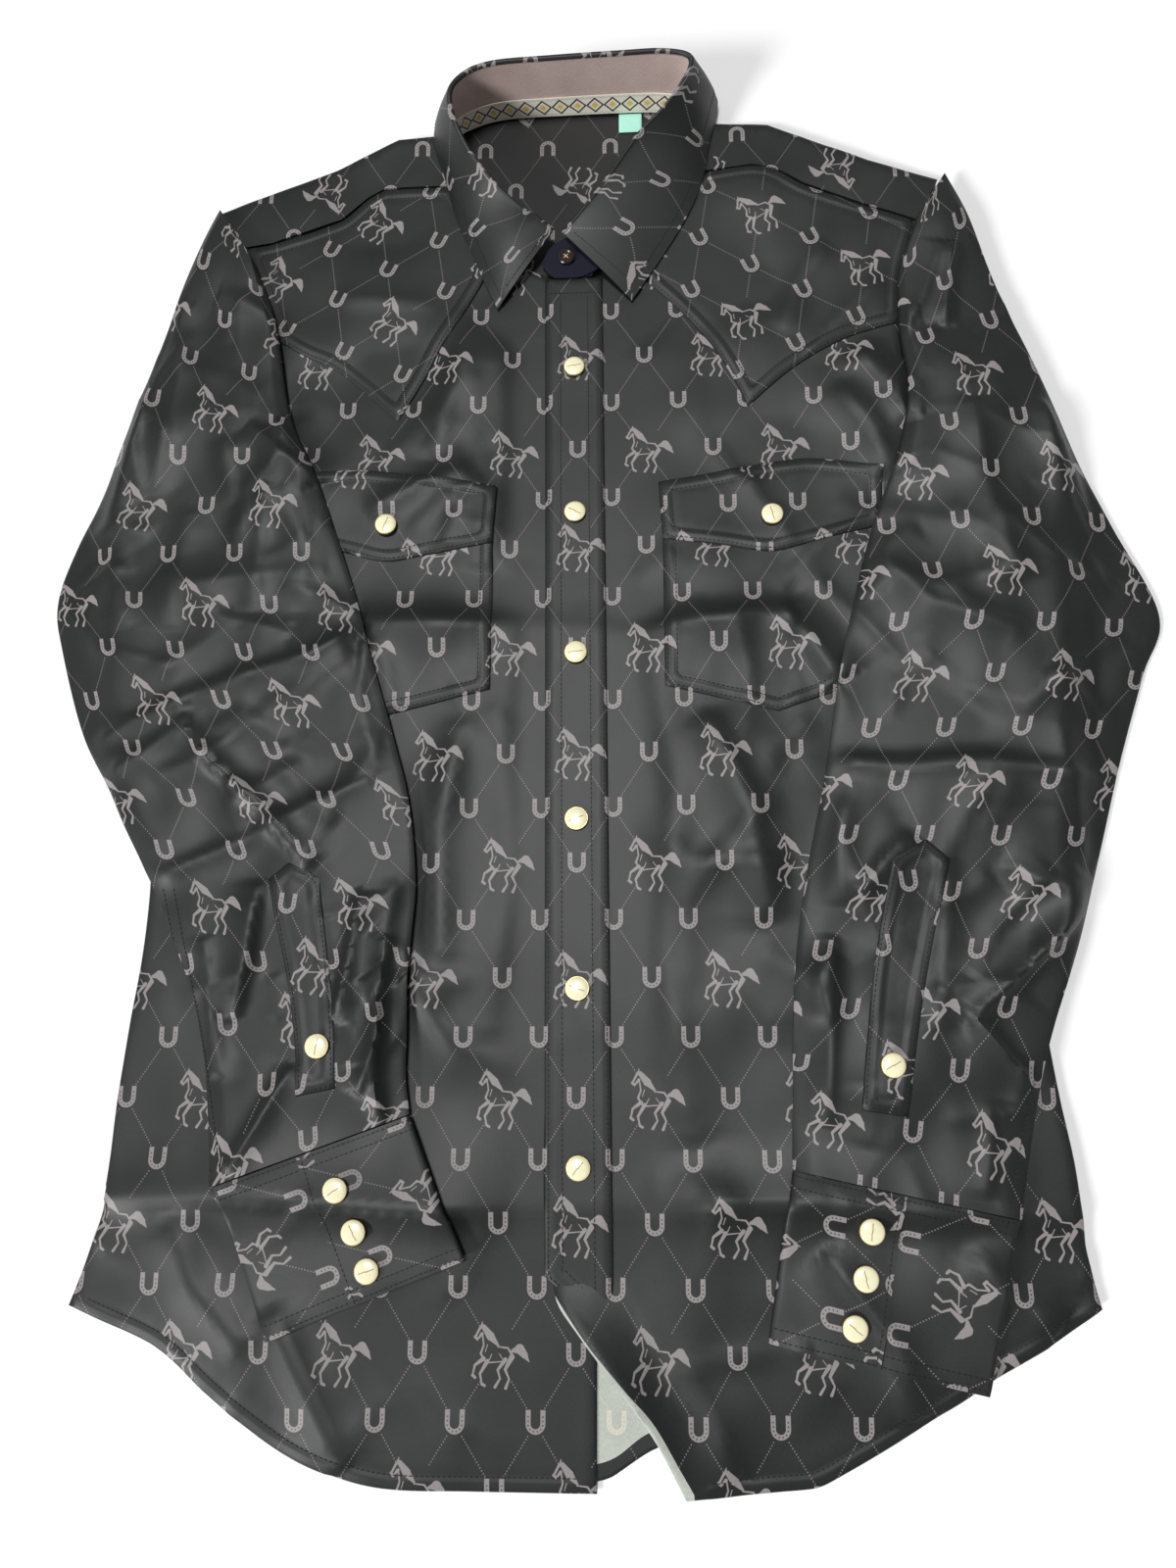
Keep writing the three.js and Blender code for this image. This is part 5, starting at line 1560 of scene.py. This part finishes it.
def build_stage():
    """The floor, the sky, the two lamps and the camera."""
    stage = bpy.context.scene.shirt_stage
    scene = bpy.context.scene
    floor_mesh = bpy.data.meshes.new("floor")
    corners = [(-1, -1), (1, -1), (1, 1), (-1, 1)]
    floor_mesh.from_pydata([(x * FLOOR_REACH, y * FLOOR_REACH, 0) for x, y in corners], [],
                           [(0, 1, 2, 3)])
    graph = Graph("floor")
    spot = Value(graph, graph.node("ShaderNodeTexCoord").outputs["Object"])
    share = graph.noise(spot, 3.0) + 0.5
    floor_mesh.materials.append(graph.finish({
        "Base Color": graph.mix(share, scaled(stage.floor, 0.995), tuple(stage.floor)),
        "Roughness": 0.9, "Specular IOR Level": 0.1,
    }))
    floor = bpy.data.objects.new("floor", floor_mesh)
    floor.location.z = -0.0003
    scene.collection.objects.link(floor)
    world = bpy.data.worlds.new("studio")
    world.use_nodes = True
    world.node_tree.nodes["Background"].inputs["Color"].default_value = (1, 1, 1, 1)
    world.node_tree.nodes["Background"].inputs["Strength"].default_value = stage.sky
    scene.world = world
    for name, energy, place in (("key", stage.key, KEY_FROM), ("side", stage.side, SIDE_FROM)):
        lamp = bpy.data.lights.new(name, "SUN")
        lamp.energy, lamp.angle = energy, math.radians(LAMP_ANGLE)
        made = bpy.data.objects.new(name, lamp)
        made.rotation_mode = "QUATERNION"
        made.rotation_quaternion = (-Vector(place)).to_track_quat("-Z", "Y")
        scene.collection.objects.link(made)
    camera = bpy.data.cameras.new("camera")
    camera.lens, camera.sensor_width = CAMERA_LENS, 36.0
    camera.clip_start, camera.clip_end = 0.01, 100.0
    made = bpy.data.objects.new("camera", camera)
    lean, tilt = math.radians(CAMERA_LEAN), math.radians(CAMERA_TILT)
    ahead = Vector((-math.sin(tilt) * math.cos(lean), math.sin(lean),
                    -math.cos(tilt) * math.cos(lean)))
    right = Vector((math.cos(tilt), 0, -math.sin(tilt)))
    up = right.cross(ahead)
    turn = Matrix((right, up, -ahead)).transposed().to_4x4()
    made.matrix_world = Matrix.Translation(Vector(CAMERA_PLACE) * MM) @ turn
    scene.collection.objects.link(made)
    scene.camera = made
    scene.view_settings.view_transform = "Standard"


# ------------------------------------------------------------------ operators and panel
class SHIRT_OT_body(bpy.types.Operator):
    """Cuts the back, the two fronts and the placket"""

    bl_idname = "shirt.body"
    bl_label = "Body"

    def execute(self, context):
        build_body()
        return {"FINISHED"}


class SHIRT_OT_yokes(bpy.types.Operator):
    """Cuts the back yoke and the two pointed front yokes"""

    bl_idname = "shirt.yokes"
    bl_label = "Yokes"

    def execute(self, context):
        build_yokes()
        return {"FINISHED"}


class SHIRT_OT_pockets(bpy.types.Operator):
    """Cuts the pockets and their flaps"""

    bl_idname = "shirt.pockets"
    bl_label = "Pockets"

    def execute(self, context):
        build_pockets()
        return {"FINISHED"}


class SHIRT_OT_sleeves(bpy.types.Operator):
    """Makes the sleeves, the facings of their slits and the cuffs"""

    bl_idname = "shirt.sleeves"
    bl_label = "Sleeves and cuffs"

    def execute(self, context):
        for side in SIDES:
            build_sleeve(side)
            build_facing(side)
            build_cuff(side)
        return {"FINISHED"}


class SHIRT_OT_collar(bpy.types.Operator):
    """Makes the collar with its lining, braid and tag"""

    bl_idname = "shirt.collar"
    bl_label = "Collar"

    def execute(self, context):
        build_collar()
        return {"FINISHED"}


class SHIRT_OT_fastenings(bpy.types.Operator):
    """Sets the snaps and the collar's button"""

    bl_idname = "shirt.fastenings"
    bl_label = "Snaps and button"

    def execute(self, context):
        build_fastenings()
        return {"FINISHED"}


class SHIRT_OT_stitching(bpy.types.Operator):
    """Sews the rows of stitches"""

    bl_idname = "shirt.stitching"
    bl_label = "Stitching"

    def execute(self, context):
        build_stitching()
        return {"FINISHED"}


class SHIRT_OT_stage(bpy.types.Operator):
    """Sets the floor, the lamps and the camera"""

    bl_idname = "shirt.stage"
    bl_label = "Stage"

    def execute(self, context):
        build_stage()
        return {"FINISHED"}


OPERATORS = (
    SHIRT_OT_body, SHIRT_OT_yokes, SHIRT_OT_pockets, SHIRT_OT_sleeves, SHIRT_OT_collar,
    SHIRT_OT_fastenings, SHIRT_OT_stitching, SHIRT_OT_stage,
)


class SHIRT_PT_panel(bpy.types.Panel):
    """Lists the shirt's sizes, colours and pieces"""

    bl_idname = "SHIRT_PT_panel"
    bl_label = "Snap-front shirt"
    bl_space_type = "VIEW_3D"
    bl_region_type = "UI"
    bl_category = "Shirt"

    def draw(self, context):
        layout = self.layout
        for group in SETTINGS:
            settings = getattr(context.scene, group)
            box = layout.box()
            for key in type(settings).__annotations__:
                box.prop(settings, key)
        for operator in OPERATORS:
            layout.operator(operator.bl_idname)


SETTINGS = {
    "shirt_cloth": ShirtClothSettings,
    "shirt_trim": ShirtTrimSettings,
    "shirt_stage": ShirtStageSettings,
}


def register():
    for kind in (*SETTINGS.values(), *OPERATORS, SHIRT_PT_panel):
        bpy.utils.register_class(kind)
    for key, kind in SETTINGS.items():
        setattr(bpy.types.Scene, key, PointerProperty(type=kind))


def unregister():
    for key in SETTINGS:
        delattr(bpy.types.Scene, key)
    for kind in reversed((*SETTINGS.values(), *OPERATORS, SHIRT_PT_panel)):
        bpy.utils.unregister_class(kind)


def main():
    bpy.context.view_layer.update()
    register()
    for operator in OPERATORS:
        group, action = operator.bl_idname.split(".")
        getattr(getattr(bpy.ops, group), action)()


if __name__ == "__main__":
    main()
